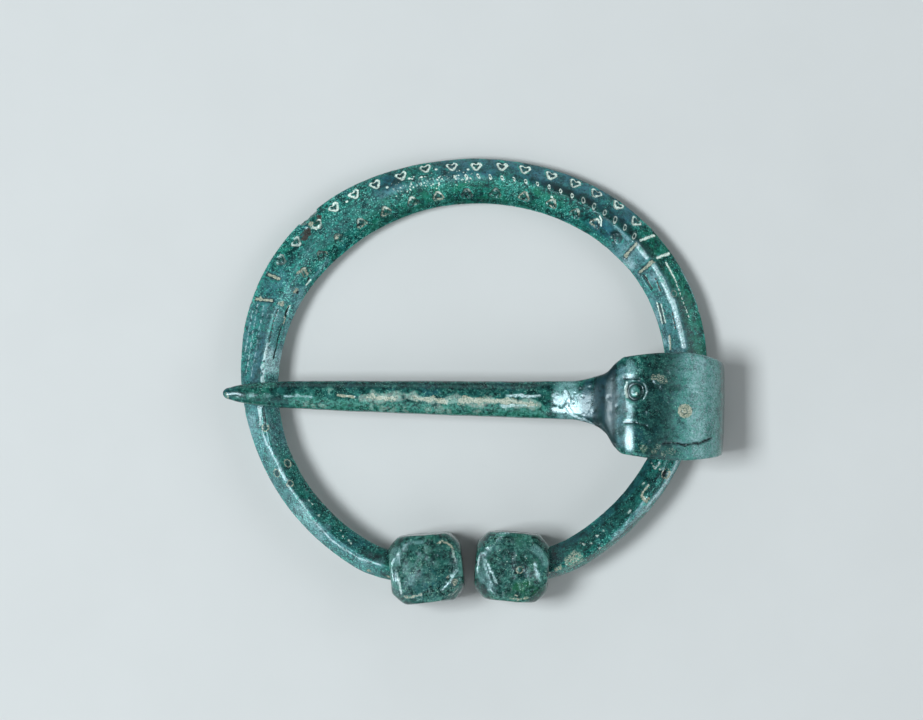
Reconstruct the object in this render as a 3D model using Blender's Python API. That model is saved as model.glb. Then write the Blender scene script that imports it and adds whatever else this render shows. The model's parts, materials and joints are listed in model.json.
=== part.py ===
"""Penannular brooch: an open bronze hoop with a cut-corner terminal at each end, and a pin whose
sheet head is rolled round the hoop. Metres, +Z up. The brooch lies loose on its underside.

Angles of the hoop run anticlockwise from +X, seen from above, about the hoop's centre.
"""

import math
from itertools import product

import bmesh
import bpy
import numpy as np
from mathutils import Matrix, Vector

# Hoop: its middle line is a circle bent slightly oval and three-lobed by hand
HOOP_RADIUS = 0.0258
HOOP_OVAL = 0.00086
HOOP_OVAL_DEG = 10.4
HOOP_LOBE = 0.00027
HOOP_LOBE_DEG = 25.7

# Hoop bar: widths and thicknesses of its section
ARCH_WIDTH = 0.0056
SHOULDER_WIDTH = 0.0065
RIGHT_ARM_WIDTH = 0.0039
LEFT_ARM_WIDTH = 0.0037
ARCH_THICKNESS = 0.0039
SEAT_THICKNESS = 0.0032
ARM_THICKNESS = 0.0035
TOP_ROUNDNESS = 1.15
UNDERSIDE_ROUNDNESS = 1.7

# Terminals: cubes with cut corners, at the hoop's ends, set a little inside its line
LEFT_TERMINAL_DEG = 256.3
RIGHT_TERMINAL_DEG = -78.1
TERMINAL_BEND_DEG = 20.0
TERMINAL_INSET = 0.0013
TERMINAL_DROP = 0.0006
TERMINAL_LENGTH = 0.0091
TERMINAL_WIDTH = 0.0085
TERMINAL_HEIGHT = 0.0092
TERMINAL_CORNER_CUT = 0.0030
TERMINAL_EDGE_CUT = 0.0014
TERMINAL_WEAR = 0.0006

# Pin: shaft, neck and the sheet that is rolled round the hoop
PIN_SEAT_DEG = -6.65
PIN_SEAT_INSET = 0.00065
PIN_SEAT_RISE = 0.0021
PIN_TURN_DEG = -1.2
PIN_LENGTH = 0.0567
PIN_REST_GAP = 0.0003
TIP_WIDTH = 0.0013
TIP_NOSE_WIDTH = 0.0022
TIP_NOSE_LENGTH = 0.0021
TIP_NOSE_SHARES = (0.35, 1.0)
TIP_TAPER = 0.0085
SHAFT_START_WIDTH = 0.0034
SHAFT_END_WIDTH = 0.0048
SHAFT_FLATNESS = 0.66
NECK_WIDTH = 0.0060
NECK_THICKNESS = 0.0021
NECK_LENGTH = 0.0060
NECK_DROP = 0.0044
NECK_SLOPE_DEG = 14.0
DIP_DROP = 0.00275
SHEET_WALL = 0.0010
SHEET_END_WALL = 0.0009
SHEET_OFFSET = -0.0007
FLARE_WIDTH = 0.0121
LOOP_WIDTH = 0.0134
FLANK_WIDTH = 0.0114
SHEET_END_WIDTH = 0.0096
LOOP_CLEARANCE = 0.0003
SEAM_GAP = 0.0003
SHOULDER_REACH = 0.0061
SHOULDER_SLOPE_DEG = 4.0
FLARE_REACH = 0.0078
FLARE_SLOPE_DEG = 30.0
NECK_FILLET = 0.0120
DIP_FILLET = 0.0080
SHOULDER_FILLET = 0.0045
SHAFT_ROUNDNESS = 2.2
NECK_ROUNDNESS = 3.6
SHEET_ROUNDNESS = 5.0

# Ornament: two rows of triangular punch marks, cross lines at both ends of them, ring-and-dot marks
OUTER_MARKS = 17
OUTER_MARKS_FROM_DEG = 44.0
OUTER_MARKS_TO_DEG = 148.1
OUTER_MARKS_SHARE = 0.68
INNER_MARKS = 14
INNER_MARKS_FROM_DEG = 44.6
INNER_MARKS_TO_DEG = 147.1
INNER_MARKS_SHARE = -0.50
MARK_SIZE = 0.0019
MARK_DEPTH = 0.0003
MARK_TAPER = 0.8
LINE_DEGS = (33.2, 39.3, 152.6, 159.1)
LINE_WIDTH = 0.0003
LINE_DEPTH = 0.0003
LINE_RIDGE_SHARE = 0.22
LINE_EDGE_SHARE = 0.90
RING_MARK_DEPTH = 0.00025
RING_MARK_LINE = 0.0004
RING_MARK_DOT = 0.0005
DEEP_RING_RADIUS = 0.0012
DEEP_RING_PLACE = (-0.0057, 0.0015)
FILLED_RING_RADIUS = 0.0010
FILLED_RING_PLACE = (0.0008, -0.0010)

# Chip in the hoop's outer edge
CHIP_DEG = 135.0
CHIP_LENGTH = 0.0034
CHIP_DEPTH = 0.0006
CHIP_HEIGHT = 0.0024

# Fineness of the faceted solids
BAR_STEP_DEG = 3.0
BAR_SIDES = 16
PIN_SIDES = 20
SHAFT_STEP = 0.0032
BEND_STEP_DEG = 9.0
BEND_STEP = 0.0013
FLARE_STEP = 0.0006
RING_SIDES = 14
DOT_SIDES = 8
SHARP_DEG = 28.0
SEARCH_DEG = 30.0
SEARCH_STEP_DEG = 0.5
CUT_STANDS_OUT = 0.0006

# Section of the bar along the hoop: angle, width, thickness, and how far the top ridge stands
# towards the outer edge, as a share of half the width
BAR_STATIONS = (
    (RIGHT_TERMINAL_DEG, RIGHT_ARM_WIDTH, ARM_THICKNESS, 0.45),
    (-48.0, RIGHT_ARM_WIDTH, ARM_THICKNESS, 0.60),
    (-24.0, RIGHT_ARM_WIDTH, SEAT_THICKNESS, 0.25),
    (7.0, 0.94 * ARCH_WIDTH, SEAT_THICKNESS, -0.08),
    (60.0, ARCH_WIDTH, ARCH_THICKNESS, 0.08),
    (95.0, ARCH_WIDTH, ARCH_THICKNESS, 0.18),
    (134.0, SHOULDER_WIDTH, ARCH_THICKNESS, 0.05),
    (163.0, 0.98 * ARCH_WIDTH, ARCH_THICKNESS, -0.25),
    (188.0, 1.16 * LEFT_ARM_WIDTH, ARM_THICKNESS, -0.10),
    (210.0, LEFT_ARM_WIDTH, ARM_THICKNESS, 0.11),
    (LEFT_TERMINAL_DEG, LEFT_ARM_WIDTH, ARM_THICKNESS, 0.11),
)

# How the shaft flattens into its neck: place from the flare's middle in neck lengths, width,
# thickness and roundness of the section
NECK_STATIONS = (
    (-2.0, 0.96 * SHAFT_END_WIDTH, 0.96 * SHAFT_END_WIDTH * SHAFT_FLATNESS, SHAFT_ROUNDNESS),
    (-1.3, 0.99 * SHAFT_END_WIDTH, NECK_THICKNESS, NECK_ROUNDNESS),
    (-1.0, SHAFT_END_WIDTH, NECK_THICKNESS, NECK_ROUNDNESS),
)

# How the neck widens into the sheet: place as above, share of the widening, thickness, roundness
# of the section, and share of the sheet's sideways offset
FLARE_STATIONS = (
    (-0.5, 0.0, NECK_THICKNESS, NECK_ROUNDNESS, 0.1),
    (-0.2, 0.28, NECK_THICKNESS, NECK_ROUNDNESS, 0.5),
    (0.0, 0.75, 0.8 * NECK_THICKNESS, NECK_ROUNDNESS, 0.9),
    (0.2, 1.0, 1.4 * SHEET_WALL, SHEET_ROUNDNESS, 1.0),
)


def station_slope(places, values, index):
    """Slope of a smooth curve at a station, which never overshoots the stations beside it."""
    if index in (0, len(places) - 1):
        return 0.0
    before = (values[index] - values[index - 1]) / (places[index] - places[index - 1])
    after = (values[index + 1] - values[index]) / (places[index + 1] - places[index])
    if before * after <= 0:
        return 0.0
    return 2 * before * after / (before + after)


def smooth_value(stations, place, column=1):
    """A column's value between stations, along cubic pieces whose slopes meet."""
    places = [row[0] for row in stations]
    values = [row[column] for row in stations]
    last = len(places) - 2
    index = min(max(int(np.searchsorted(places, place)) - 1, 0), last)
    span = places[index + 1] - places[index]
    t = min(max((place - places[index]) / span, 0.0), 1.0)
    rise = span * station_slope(places, values, index)
    next_rise = span * station_slope(places, values, index + 1)
    start = values[index] * (1 + 2 * t) * (1 - t) ** 2 + rise * t * (1 - t) ** 2
    end = values[index + 1] * t * t * (3 - 2 * t) - next_rise * t * t * (1 - t)
    return start + end


def new_material(name, color, roughness, metallic):
    """A Principled material."""
    material = bpy.data.materials.new(name)
    material.use_nodes = True
    shader = material.node_tree.nodes["Principled BSDF"]
    shader.inputs["Base Color"].default_value = (*color, 1.0)
    shader.inputs["Roughness"].default_value = roughness
    shader.inputs["Metallic"].default_value = metallic
    material.diffuse_color = (*color, 1.0)
    return material


def new_object(name, mesh_builder, parent, material=None):
    """An object made from a bmesh, with its round parts shaded smooth."""
    mesh = bpy.data.meshes.new(name)
    mesh_builder.to_mesh(mesh)
    mesh_builder.free()
    mesh.shade_smooth()
    mesh.set_sharp_from_angle(angle=math.radians(SHARP_DEG))
    if material:
        mesh.materials.append(material)
    made = bpy.data.objects.new(name, mesh)
    made.parent = parent
    bpy.context.scene.collection.objects.link(made)
    return made


def new_helper(name, mesh_builder, parent):
    """A hidden object that another one's Boolean reads."""
    made = new_object(name, mesh_builder, parent)
    made.hide_render = True
    made.display_type = "WIRE"
    return made


def new_empty(name, parent=None):
    """An empty that carries other objects."""
    made = bpy.data.objects.new(name, None)
    made.parent = parent
    bpy.context.scene.collection.objects.link(made)
    return made


def join_or_cut(target, helper, operation):
    """Adds an exact Boolean to the target."""
    modifier = target.modifiers.new(helper.name, "BOOLEAN")
    modifier.operation = operation
    modifier.solver = "EXACT"
    modifier.object = helper


def turn_outwards(mesh_builder, faces):
    """Reverses the faces of one closed body if they enclose it from the wrong side."""
    inside = faces[0].verts[0].co.copy()
    volume = 0.0
    for face in faces:
        first, *others = [vertex.co - inside for vertex in face.verts]
        for second, third in zip(others, others[1:]):
            volume += first.dot(second.cross(third))
    if volume < 0:
        bmesh.ops.reverse_faces(mesh_builder, faces=faces)


def add_bands(mesh_builder, rings):
    """Faces between rings of vertices that follow each other."""
    count = len(rings[0])
    faces = []
    for ring, following in zip(rings, rings[1:]):
        for index in range(count):
            after = (index + 1) % count
            corners = (ring[index], ring[after], following[after], following[index])
            faces.append(mesh_builder.faces.new(corners))
    return faces


def add_loft(mesh_builder, sections):
    """Skins closed sections of equal point counts and closes both ends."""
    rings = [[mesh_builder.verts.new(point) for point in section] for section in sections]
    faces = add_bands(mesh_builder, rings)
    faces.append(mesh_builder.faces.new(reversed(rings[0])))
    faces.append(mesh_builder.faces.new(rings[-1]))
    turn_outwards(mesh_builder, faces)


def add_prism(mesh_builder, outline, frame, depth, taper=1.0):
    """A straight or tapered prism along the frame's Z, from depth below it to a little above it."""
    below = [frame @ Vector((x * taper, y * taper, -depth)) for x, y in outline]
    above = [frame @ Vector((x, y, CUT_STANDS_OUT)) for x, y in outline]
    add_loft(mesh_builder, (below, above))


def regular_outline(sides, radius, turn_deg=0.0):
    """Corners of a regular polygon."""
    angles = [math.radians(turn_deg + 360 * index / sides) for index in range(sides)]
    return [(radius * math.cos(angle), radius * math.sin(angle)) for angle in angles]


def middle_radius(angle_deg):
    """Distance of the hoop's middle line from its centre."""
    oval = HOOP_OVAL * math.cos(2 * math.radians(angle_deg - HOOP_OVAL_DEG))
    lobe = HOOP_LOBE * math.cos(3 * math.radians(angle_deg - HOOP_LOBE_DEG))
    to_left = LEFT_TERMINAL_DEG - angle_deg
    to_right = angle_deg - RIGHT_TERMINAL_DEG
    bend = max(0.0, 1 - min(to_left, to_right) / TERMINAL_BEND_DEG)
    return HOOP_RADIUS + oval + lobe - TERMINAL_INSET * bend**2


def plan_point(angle_deg, outwards=0.0):
    """Point in plan, a distance outwards from the middle line."""
    radius = middle_radius(angle_deg) + outwards
    angle = math.radians(angle_deg)
    return Vector((radius * math.cos(angle), radius * math.sin(angle), 0))


def hoop_slope():
    """Rise of the middle line towards the terminals: they and the arch both touch the ground."""
    span = middle_radius(90) - plan_point(LEFT_TERMINAL_DEG).y
    return ((TERMINAL_HEIGHT - ARCH_THICKNESS) / 2 + TERMINAL_DROP) / span


def middle_height(place_y):
    """Height of the middle line."""
    return ARCH_THICKNESS / 2 + hoop_slope() * (middle_radius(90) - place_y)


def bar_point(angle_deg, across, side=1):
    """Point on the bar's surface: across runs from -1 at the inner edge to 1 at the outer one,
    and side is 1 on top and -1 underneath."""
    half_width = smooth_value(BAR_STATIONS, angle_deg) / 2
    half_thickness = smooth_value(BAR_STATIONS, angle_deg, column=2) / 2
    ridge = smooth_value(BAR_STATIONS, angle_deg, column=3) if side > 0 else 0.0
    power = TOP_ROUNDNESS if side > 0 else UNDERSIDE_ROUNDNESS
    from_ridge = (across - ridge) / (1 - ridge if across > ridge else 1 + ridge)
    rise = max(0.0, 1 - abs(from_ridge) ** power) ** (1 / power)
    point = plan_point(angle_deg, across * half_width)
    point.z = middle_height(plan_point(angle_deg).y) + side * rise * half_thickness
    return point


def bar_section(angle_deg):
    """Closed section of the bar, with a point on its ridge and on both edges."""
    ridge = smooth_value(BAR_STATIONS, angle_deg, column=3)
    half = BAR_SIDES // 2
    points = []
    for index in range(BAR_SIDES):
        side = 1 if index <= half else -1
        turn = math.pi * index / half
        spread = math.copysign(abs(math.cos(turn)) ** (2 / TOP_ROUNDNESS), math.cos(turn))
        across = spread + ridge * (1 - abs(spread)) if side > 0 else math.cos(turn)
        points.append(bar_point(angle_deg, across, side))
    return points


def bar_frame(angle_deg, across):
    """Frame on the bar's top: X outwards along the facet, Y along the hoop, Z out of the surface."""
    step = 0.02
    point = bar_point(angle_deg, across)
    outwards = (bar_point(angle_deg, across + step) - bar_point(angle_deg, across - step)).normalized()
    along = (bar_point(angle_deg + step, across) - bar_point(angle_deg - step, across)).normalized()
    normal = outwards.cross(along).normalized()
    along = normal.cross(outwards)
    frame = Matrix((outwards, along, normal)).transposed().to_4x4()
    frame.translation = point
    return frame


def hoop_tangent(angle_deg):
    """Direction of the middle line in plan, with the angle growing."""
    step = 0.05
    return (plan_point(angle_deg + step) - plan_point(angle_deg - step)).normalized()


def terminal_frame(angle_deg):
    """Frame at a terminal's centre, X along the hoop."""
    tangent = hoop_tangent(angle_deg)
    frame = Matrix.Rotation(math.atan2(tangent.y, tangent.x), 4, "Z")
    place = plan_point(angle_deg)
    frame.translation = (place.x, place.y, TERMINAL_HEIGHT / 2)
    return frame


def cut_by_plane(mesh_builder, corner, normal, depth):
    """Cuts off what lies past a plane that is a depth below a corner, and closes the cut."""
    everything = mesh_builder.verts[:] + mesh_builder.edges[:] + mesh_builder.faces[:]
    cut = bmesh.ops.bisect_plane(
        mesh_builder,
        geom=everything,
        plane_co=corner - normal * depth,
        plane_no=normal,
        clear_outer=True,
    )
    edges = [piece for piece in cut["geom_cut"] if isinstance(piece, bmesh.types.BMEdge)]
    bmesh.ops.edgenet_fill(mesh_builder, edges=edges)


def add_terminal(mesh_builder, angle_deg):
    """A cube with its eight corners cut to triangles, its upright edges blunted and all worn."""
    terminal = bmesh.new()
    bmesh.ops.create_cube(terminal, size=1)
    half = Vector((TERMINAL_LENGTH, TERMINAL_WIDTH, TERMINAL_HEIGHT)) / 2
    terminal.transform(Matrix.Diagonal((*(2 * half), 1)))
    for signs in product((-1, 1), repeat=3):
        corner = Vector(sign * size for sign, size in zip(signs, half))
        normal = Vector(signs).normalized()
        cut_by_plane(terminal, corner, normal, TERMINAL_CORNER_CUT / math.sqrt(3))
    for signs in product((-1, 1), repeat=2):
        corner = Vector((signs[0] * half.x, signs[1] * half.y, 0))
        normal = Vector((*signs, 0)).normalized()
        cut_by_plane(terminal, corner, normal, TERMINAL_EDGE_CUT / math.sqrt(2))
    bmesh.ops.bevel(
        terminal, geom=terminal.edges[:], offset=TERMINAL_WEAR, segments=2, profile=0.5, affect="EDGES"
    )
    terminal.transform(terminal_frame(angle_deg))
    turn_outwards(terminal, terminal.faces[:])
    scratch = bpy.data.meshes.new("terminal")
    terminal.to_mesh(scratch)
    terminal.free()
    mesh_builder.from_mesh(scratch)
    bpy.data.meshes.remove(scratch)


def make_terminals(parent):
    """Both terminals, to be joined to the bar."""
    terminals = bmesh.new()
    for angle_deg in (LEFT_TERMINAL_DEG, RIGHT_TERMINAL_DEG):
        add_terminal(terminals, angle_deg)
    return new_helper("terminals", terminals, parent)


def add_mark_row(mesh_builder, count, start_deg, end_deg, across, points_outwards):
    """A row of triangular punch marks whose points turn to the ridge."""
    turn_deg = 0 if points_outwards else 180
    outline = regular_outline(3, MARK_SIZE / math.sqrt(3), turn_deg)
    for angle_deg in np.linspace(start_deg, end_deg, count):
        add_prism(mesh_builder, outline, bar_frame(angle_deg, across), MARK_DEPTH, MARK_TAPER)


def add_cross_line(mesh_builder, angle_deg, inner_share, outer_share):
    """A cut line across one facet of the bar."""
    frame = bar_frame(angle_deg, (inner_share + outer_share) / 2)
    reach = (bar_point(angle_deg, outer_share) - bar_point(angle_deg, inner_share)).length / 2
    half = LINE_WIDTH / 2
    outline = [(-reach, -half), (reach, -half), (reach, half), (-reach, half)]
    add_prism(mesh_builder, outline, frame, LINE_DEPTH, MARK_TAPER)


def make_bar_marks(parent):
    """Everything that was punched or cut into the top of the bar."""
    marks = bmesh.new()
    add_mark_row(
        marks, OUTER_MARKS, OUTER_MARKS_FROM_DEG, OUTER_MARKS_TO_DEG, OUTER_MARKS_SHARE, False
    )
    add_mark_row(
        marks, INNER_MARKS, INNER_MARKS_FROM_DEG, INNER_MARKS_TO_DEG, INNER_MARKS_SHARE, True
    )
    for angle_deg in LINE_DEGS:
        ridge = smooth_value(BAR_STATIONS, angle_deg, column=3)
        add_cross_line(marks, angle_deg, ridge + LINE_RIDGE_SHARE, LINE_EDGE_SHARE)
        add_cross_line(marks, angle_deg, -LINE_EDGE_SHARE, ridge - LINE_RIDGE_SHARE)
    return new_helper("bar_marks", marks, parent)


def make_chip(parent):
    """The piece that has broken out of the hoop's outer edge."""
    chip = bmesh.new()
    bmesh.ops.create_icosphere(chip, subdivisions=1, radius=1)
    half_width = smooth_value(BAR_STATIONS, CHIP_DEG) / 2
    place = plan_point(CHIP_DEG, half_width)
    place.z = middle_height(place.y) + CHIP_HEIGHT / 4
    turn = Matrix.Rotation(math.radians(CHIP_DEG), 4, "Z")
    size = Matrix.Diagonal((CHIP_DEPTH, CHIP_LENGTH / 2, CHIP_HEIGHT / 2, 1))
    chip.transform(Matrix.Translation(place) @ turn @ size)
    turn_outwards(chip, chip.faces[:])
    return new_helper("chip", chip, parent)


def make_hoop(parent, material):
    """The cast hoop: bar and terminals in one, with its ornament and its chip."""
    bar = bmesh.new()
    steps = round((LEFT_TERMINAL_DEG - RIGHT_TERMINAL_DEG) / BAR_STEP_DEG)
    angles = np.linspace(RIGHT_TERMINAL_DEG, LEFT_TERMINAL_DEG, steps + 1)
    add_loft(bar, [bar_section(angle_deg) for angle_deg in angles])
    hoop = new_object("hoop", bar, parent, material)
    join_or_cut(hoop, make_terminals(parent), "UNION")
    join_or_cut(hoop, make_bar_marks(parent), "DIFFERENCE")
    join_or_cut(hoop, make_chip(parent), "DIFFERENCE")
    return hoop


def pin_pivot_frame():
    """Frame of the pin: origin on the loop's axis, Y along that axis, -X towards the tip."""
    turn = Matrix.Rotation(math.radians(PIN_TURN_DEG), 4, "Z")
    frame = turn @ Matrix.Rotation(-math.atan(hoop_slope()), 4, "X")
    seat = plan_point(PIN_SEAT_DEG, -PIN_SEAT_INSET)
    seat.z = middle_height(seat.y) + PIN_SEAT_RISE
    frame.translation = seat
    return frame


def search_angles(middle_deg):
    """Angles along the hoop on both sides of one."""
    return np.arange(middle_deg - SEARCH_DEG, middle_deg + SEARCH_DEG, SEARCH_STEP_DEG)


def loop_bore_radius():
    """Radius of the loop's inside, which turns clear of the bar that runs through it."""
    to_pin = pin_pivot_frame().inverted()
    half_length = (LOOP_WIDTH + FLANK_WIDTH) / 4
    reach = 0.0
    for angle_deg in search_angles(PIN_SEAT_DEG):
        for point in bar_section(angle_deg):
            place = to_pin @ point
            if abs(place.y - SHEET_OFFSET) < half_length:
                reach = max(reach, math.hypot(place.x, place.z))
    return reach + LOOP_CLEARANCE


def crossing_place():
    """Where the shaft crosses the bar, in the pin's frame, and how high its underside clears it."""
    to_pin = pin_pivot_frame().inverted()
    places = []
    for angle_deg in search_angles(180):
        for across in np.linspace(-0.9, 0.9, 19):
            place = to_pin @ bar_point(angle_deg, across)
            if abs(place.y) < SHAFT_START_WIDTH / 2:
                places.append(place)
    highest = max(places, key=lambda place: place.z)
    return highest.x, highest.z + PIN_REST_GAP


def fillet_points(before, corner, after, radius):
    """Arc that rounds a corner between two straight runs."""
    to_before = (before - corner).normalized()
    to_after = (after - corner).normalized()
    half_angle = to_before.angle(to_after) / 2
    middle = (to_before + to_after).normalized()
    center = corner + middle * (radius / math.sin(half_angle))
    start = corner + to_before * (radius / math.tan(half_angle)) - center
    end = corner + to_after * (radius / math.tan(half_angle)) - center
    turn = start.angle(end)
    count = max(2, math.ceil(math.degrees(turn) / BEND_STEP_DEG), math.ceil(radius * turn / BEND_STEP))
    arc = []
    for index in range(count + 1):
        share = index / count
        mixed = start * math.sin((1 - share) * turn) + end * math.sin(share * turn)
        arc.append(center + mixed / math.sin(turn))
    return arc


def point_down_slope(start, low_z, slope_deg):
    """The point at a lower height that a slope towards the tip reaches from a start."""
    return Vector((start.x - (start.z - low_z) / math.tan(math.radians(slope_deg)), 0, low_z))


def points_between(start, end, step):
    """Points along a straight run, without its ends, about a step apart."""
    count = max(1, round((end - start).length / step))
    return [start.lerp(end, index / count) for index in range(1, count)]


def pin_path(bore):
    """Middle line of the pin in its own X-Z plane, from the tip along the shaft, gently up the
    neck, steeply up the flare to the shoulder and round the loop."""
    middle = bore + SHEET_WALL / 2
    slope = math.radians(SHOULDER_SLOPE_DEG)
    touch = Vector((-middle * math.sin(slope), 0, middle * math.cos(slope)))
    shoulder_x = -SHOULDER_REACH
    shoulder = Vector((shoulder_x, 0, touch.z + (shoulder_x - touch.x) * math.tan(slope)))
    dip = point_down_slope(shoulder, middle - DIP_DROP, FLARE_SLOPE_DEG)
    neck_z = middle - NECK_DROP
    neck = point_down_slope(dip, neck_z, NECK_SLOPE_DEG)
    crossing_x, crossing_z = crossing_place()
    shaft_middle_z = crossing_z + SHAFT_START_WIDTH * SHAFT_FLATNESS / 2
    rise = (neck_z - shaft_middle_z) / (neck.x - crossing_x)
    tip = Vector((-PIN_LENGTH, 0, neck_z + rise * (-PIN_LENGTH - neck.x)))

    neck_arc = fillet_points(tip, neck, dip, NECK_FILLET)
    dip_arc = fillet_points(neck, dip, shoulder, DIP_FILLET)
    shoulder_arc = fillet_points(dip, shoulder, touch, SHOULDER_FILLET)
    shaft_steps = round((neck_arc[0] - tip).length / SHAFT_STEP)
    shaft = [tip.lerp(neck_arc[0], index / shaft_steps) for index in range(shaft_steps)]
    nose = [tip.lerp(neck_arc[0], share * TIP_NOSE_LENGTH / PIN_LENGTH) for share in TIP_NOSE_SHARES]
    rise_points = points_between(neck_arc[-1], dip_arc[0], BEND_STEP)
    flare_points = points_between(dip_arc[-1], shoulder_arc[0], FLARE_STEP)
    points = shaft[:1] + nose + shaft[1:] + neck_arc + rise_points + dip_arc + flare_points + shoulder_arc

    outer = middle + SHEET_WALL / 2
    top_deg = 90 + SHOULDER_SLOPE_DEG
    seam_deg = top_deg + math.degrees(math.acos((bore - SEAM_GAP) / outer)) - 360
    steps = round((top_deg - seam_deg) / BEND_STEP_DEG)
    for angle_deg in np.linspace(top_deg, seam_deg, steps + 1):
        angle = math.radians(angle_deg)
        points.append(Vector((middle * math.cos(angle), 0, middle * math.sin(angle))))
    return points


def path_lengths(points):
    """Distance of each point from the first, along the path."""
    steps = [(after - before).length for before, after in zip(points, points[1:])]
    return np.concatenate(([0.0], np.cumsum(steps)))


def pin_tables(points, lengths, bore):
    """Width, thickness, roundness and sideways offset of the pin along its path."""
    flare_at = lengths[min(range(len(points)), key=lambda index: abs(points[index].x + FLARE_REACH))]
    quarter = math.pi / 2 * (bore + SHEET_WALL / 2)
    top_at = lengths[max(range(len(points)), key=lambda index: points[index].z)]
    growth = FLARE_WIDTH - NECK_WIDTH
    start = SHAFT_START_WIDTH
    nose = TIP_NOSE_WIDTH
    soft = SHAFT_ROUNDNESS
    square = SHEET_ROUNDNESS
    rows = [
        (0.0, TIP_WIDTH, TIP_WIDTH * SHAFT_FLATNESS, soft, 0.0),
        (TIP_NOSE_LENGTH, nose, nose * SHAFT_FLATNESS, soft, 0.0),
        (TIP_TAPER, start, start * SHAFT_FLATNESS, soft, 0.0),
    ]
    for place, width, thickness, roundness in NECK_STATIONS:
        rows.append((flare_at + place * NECK_LENGTH, width, thickness, roundness, 0.0))
    for place, widening, thickness, roundness, offset_share in FLARE_STATIONS:
        width = NECK_WIDTH + widening * growth
        offset = offset_share * SHEET_OFFSET
        rows.append((flare_at + place * NECK_LENGTH, width, thickness, roundness, offset))
    rows += [
        (top_at, LOOP_WIDTH, SHEET_WALL, square, SHEET_OFFSET),
        (top_at + quarter, FLANK_WIDTH, SHEET_WALL, square, SHEET_OFFSET),
        (lengths[-1], SHEET_END_WIDTH, SHEET_END_WALL, square, SHEET_OFFSET),
    ]
    return rows


def pin_section(point, direction, width, thickness, roundness, offset):
    """Closed section of the pin: a squared ellipse across the path."""
    normal = Vector((-direction.z, 0, direction.x))
    section = []
    for index in range(PIN_SIDES):
        turn = 2 * math.pi * (index + 0.5) / PIN_SIDES
        across = math.copysign(abs(math.cos(turn)) ** (2 / roundness), math.cos(turn))
        up = math.copysign(abs(math.sin(turn)) ** (2 / roundness), math.sin(turn))
        section.append(
            point
            + Vector((0, offset + across * width / 2, 0))
            + normal * (up * thickness / 2)
        )
    return section


def loop_mark_frame(points, lengths, table, place):
    """Frame on the pin's upper face, X along the pin, Y across it and Z out of the surface."""
    along, sideways = place
    index = next(index for index, point in enumerate(points) if point.x > along)
    before = points[index - 1]
    direction = (points[index] - before).normalized()
    distance = (along - before.x) / direction.x
    normal = Vector((-direction.z, 0, direction.x))
    thickness = smooth_value(table, lengths[index - 1] + distance, column=2)
    frame = Matrix((direction, (0, 1, 0), normal)).transposed().to_4x4()
    frame.translation = before + direction * distance + normal * thickness / 2
    frame.translation.y = sideways
    return frame


def add_ring_mark(mesh_builder, frame, radius):
    """A punched ring with a dot in its middle."""
    outline = regular_outline(RING_SIDES, radius)
    inner = regular_outline(RING_SIDES, radius - RING_MARK_LINE)
    rings = []
    for ring_outline, height in (
        (outline, -RING_MARK_DEPTH),
        (outline, CUT_STANDS_OUT),
        (inner, CUT_STANDS_OUT),
        (inner, -RING_MARK_DEPTH),
    ):
        rings.append([mesh_builder.verts.new(frame @ Vector((x, y, height))) for x, y in ring_outline])
    turn_outwards(mesh_builder, add_bands(mesh_builder, rings + rings[:1]))
    dot = regular_outline(DOT_SIDES, RING_MARK_DOT / 2)
    add_prism(mesh_builder, dot, frame, RING_MARK_DEPTH)


def make_loop_marks(parent, points, lengths, table):
    """Two ring-and-dot marks on top of the sheet."""
    marks = bmesh.new()
    for place, radius in (
        (DEEP_RING_PLACE, DEEP_RING_RADIUS),
        (FILLED_RING_PLACE, FILLED_RING_RADIUS),
    ):
        add_ring_mark(marks, loop_mark_frame(points, lengths, table, place), radius)
    return new_helper("loop_marks", marks, parent)


def make_pin(parent, material):
    """The pin, hanging from an empty on the loop's axis."""
    bore = loop_bore_radius()
    pivot = new_empty("pin_pivot", parent)
    pivot.matrix_local = pin_pivot_frame()
    points = pin_path(bore)
    lengths = path_lengths(points)
    table = pin_tables(points, lengths, bore)
    sections = []
    for index, point in enumerate(points):
        before = points[max(index - 1, 0)]
        after = points[min(index + 1, len(points) - 1)]
        sizes = [smooth_value(table, lengths[index], column) for column in (1, 2, 3, 4)]
        sections.append(pin_section(point, (after - before).normalized(), *sizes))
    body = bmesh.new()
    add_loft(body, sections)
    pin = new_object("pin", body, pivot, material)
    join_or_cut(pin, make_loop_marks(pivot, points, lengths, table), "DIFFERENCE")
    return pin


def place_on_ground(root, pieces):
    """Moves the root so that the brooch stands on Z = 0 with its box centred on the origin."""
    bpy.context.view_layer.update()
    graph = bpy.context.evaluated_depsgraph_get()
    corners = []
    for piece in pieces:
        evaluated = piece.evaluated_get(graph)
        mesh = evaluated.to_mesh()
        corners += [piece.matrix_world @ vertex.co for vertex in mesh.vertices]
        evaluated.to_mesh_clear()
    lowest = np.min(corners, axis=0)
    highest = np.max(corners, axis=0)
    middle = (lowest + highest) / 2
    root.location -= Vector((middle[0], middle[1], lowest[2]))


def main():
    """Builds the brooch."""
    for leftover in list(bpy.data.objects):
        bpy.data.objects.remove(leftover)
    hoop_bronze = new_material("hoop_bronze", (0.05, 0.21, 0.19), 0.42, 0.35)
    pin_bronze = new_material("pin_bronze", (0.06, 0.16, 0.14), 0.38, 0.35)
    root = new_empty("brooch")
    pieces = [make_hoop(root, hoop_bronze), make_pin(root, pin_bronze)]
    place_on_ground(root, pieces)


main()
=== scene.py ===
"""Looks of a bronze penannular brooch: fine skins of its hoop and its pin, with punch marks, cuts,
breaks, fills and patina, on a pale floor under soft studio light. Metres, in the model's frame.

Angles of the hoop run anticlockwise from +X, seen from above, about the hoop's centre. Places that
were read from the photograph are pixels of its 923 x 720 frame.
"""

import json
import math
from itertools import product

import bpy
import numpy as np
from mathutils import Matrix, Vector, kdtree

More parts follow.
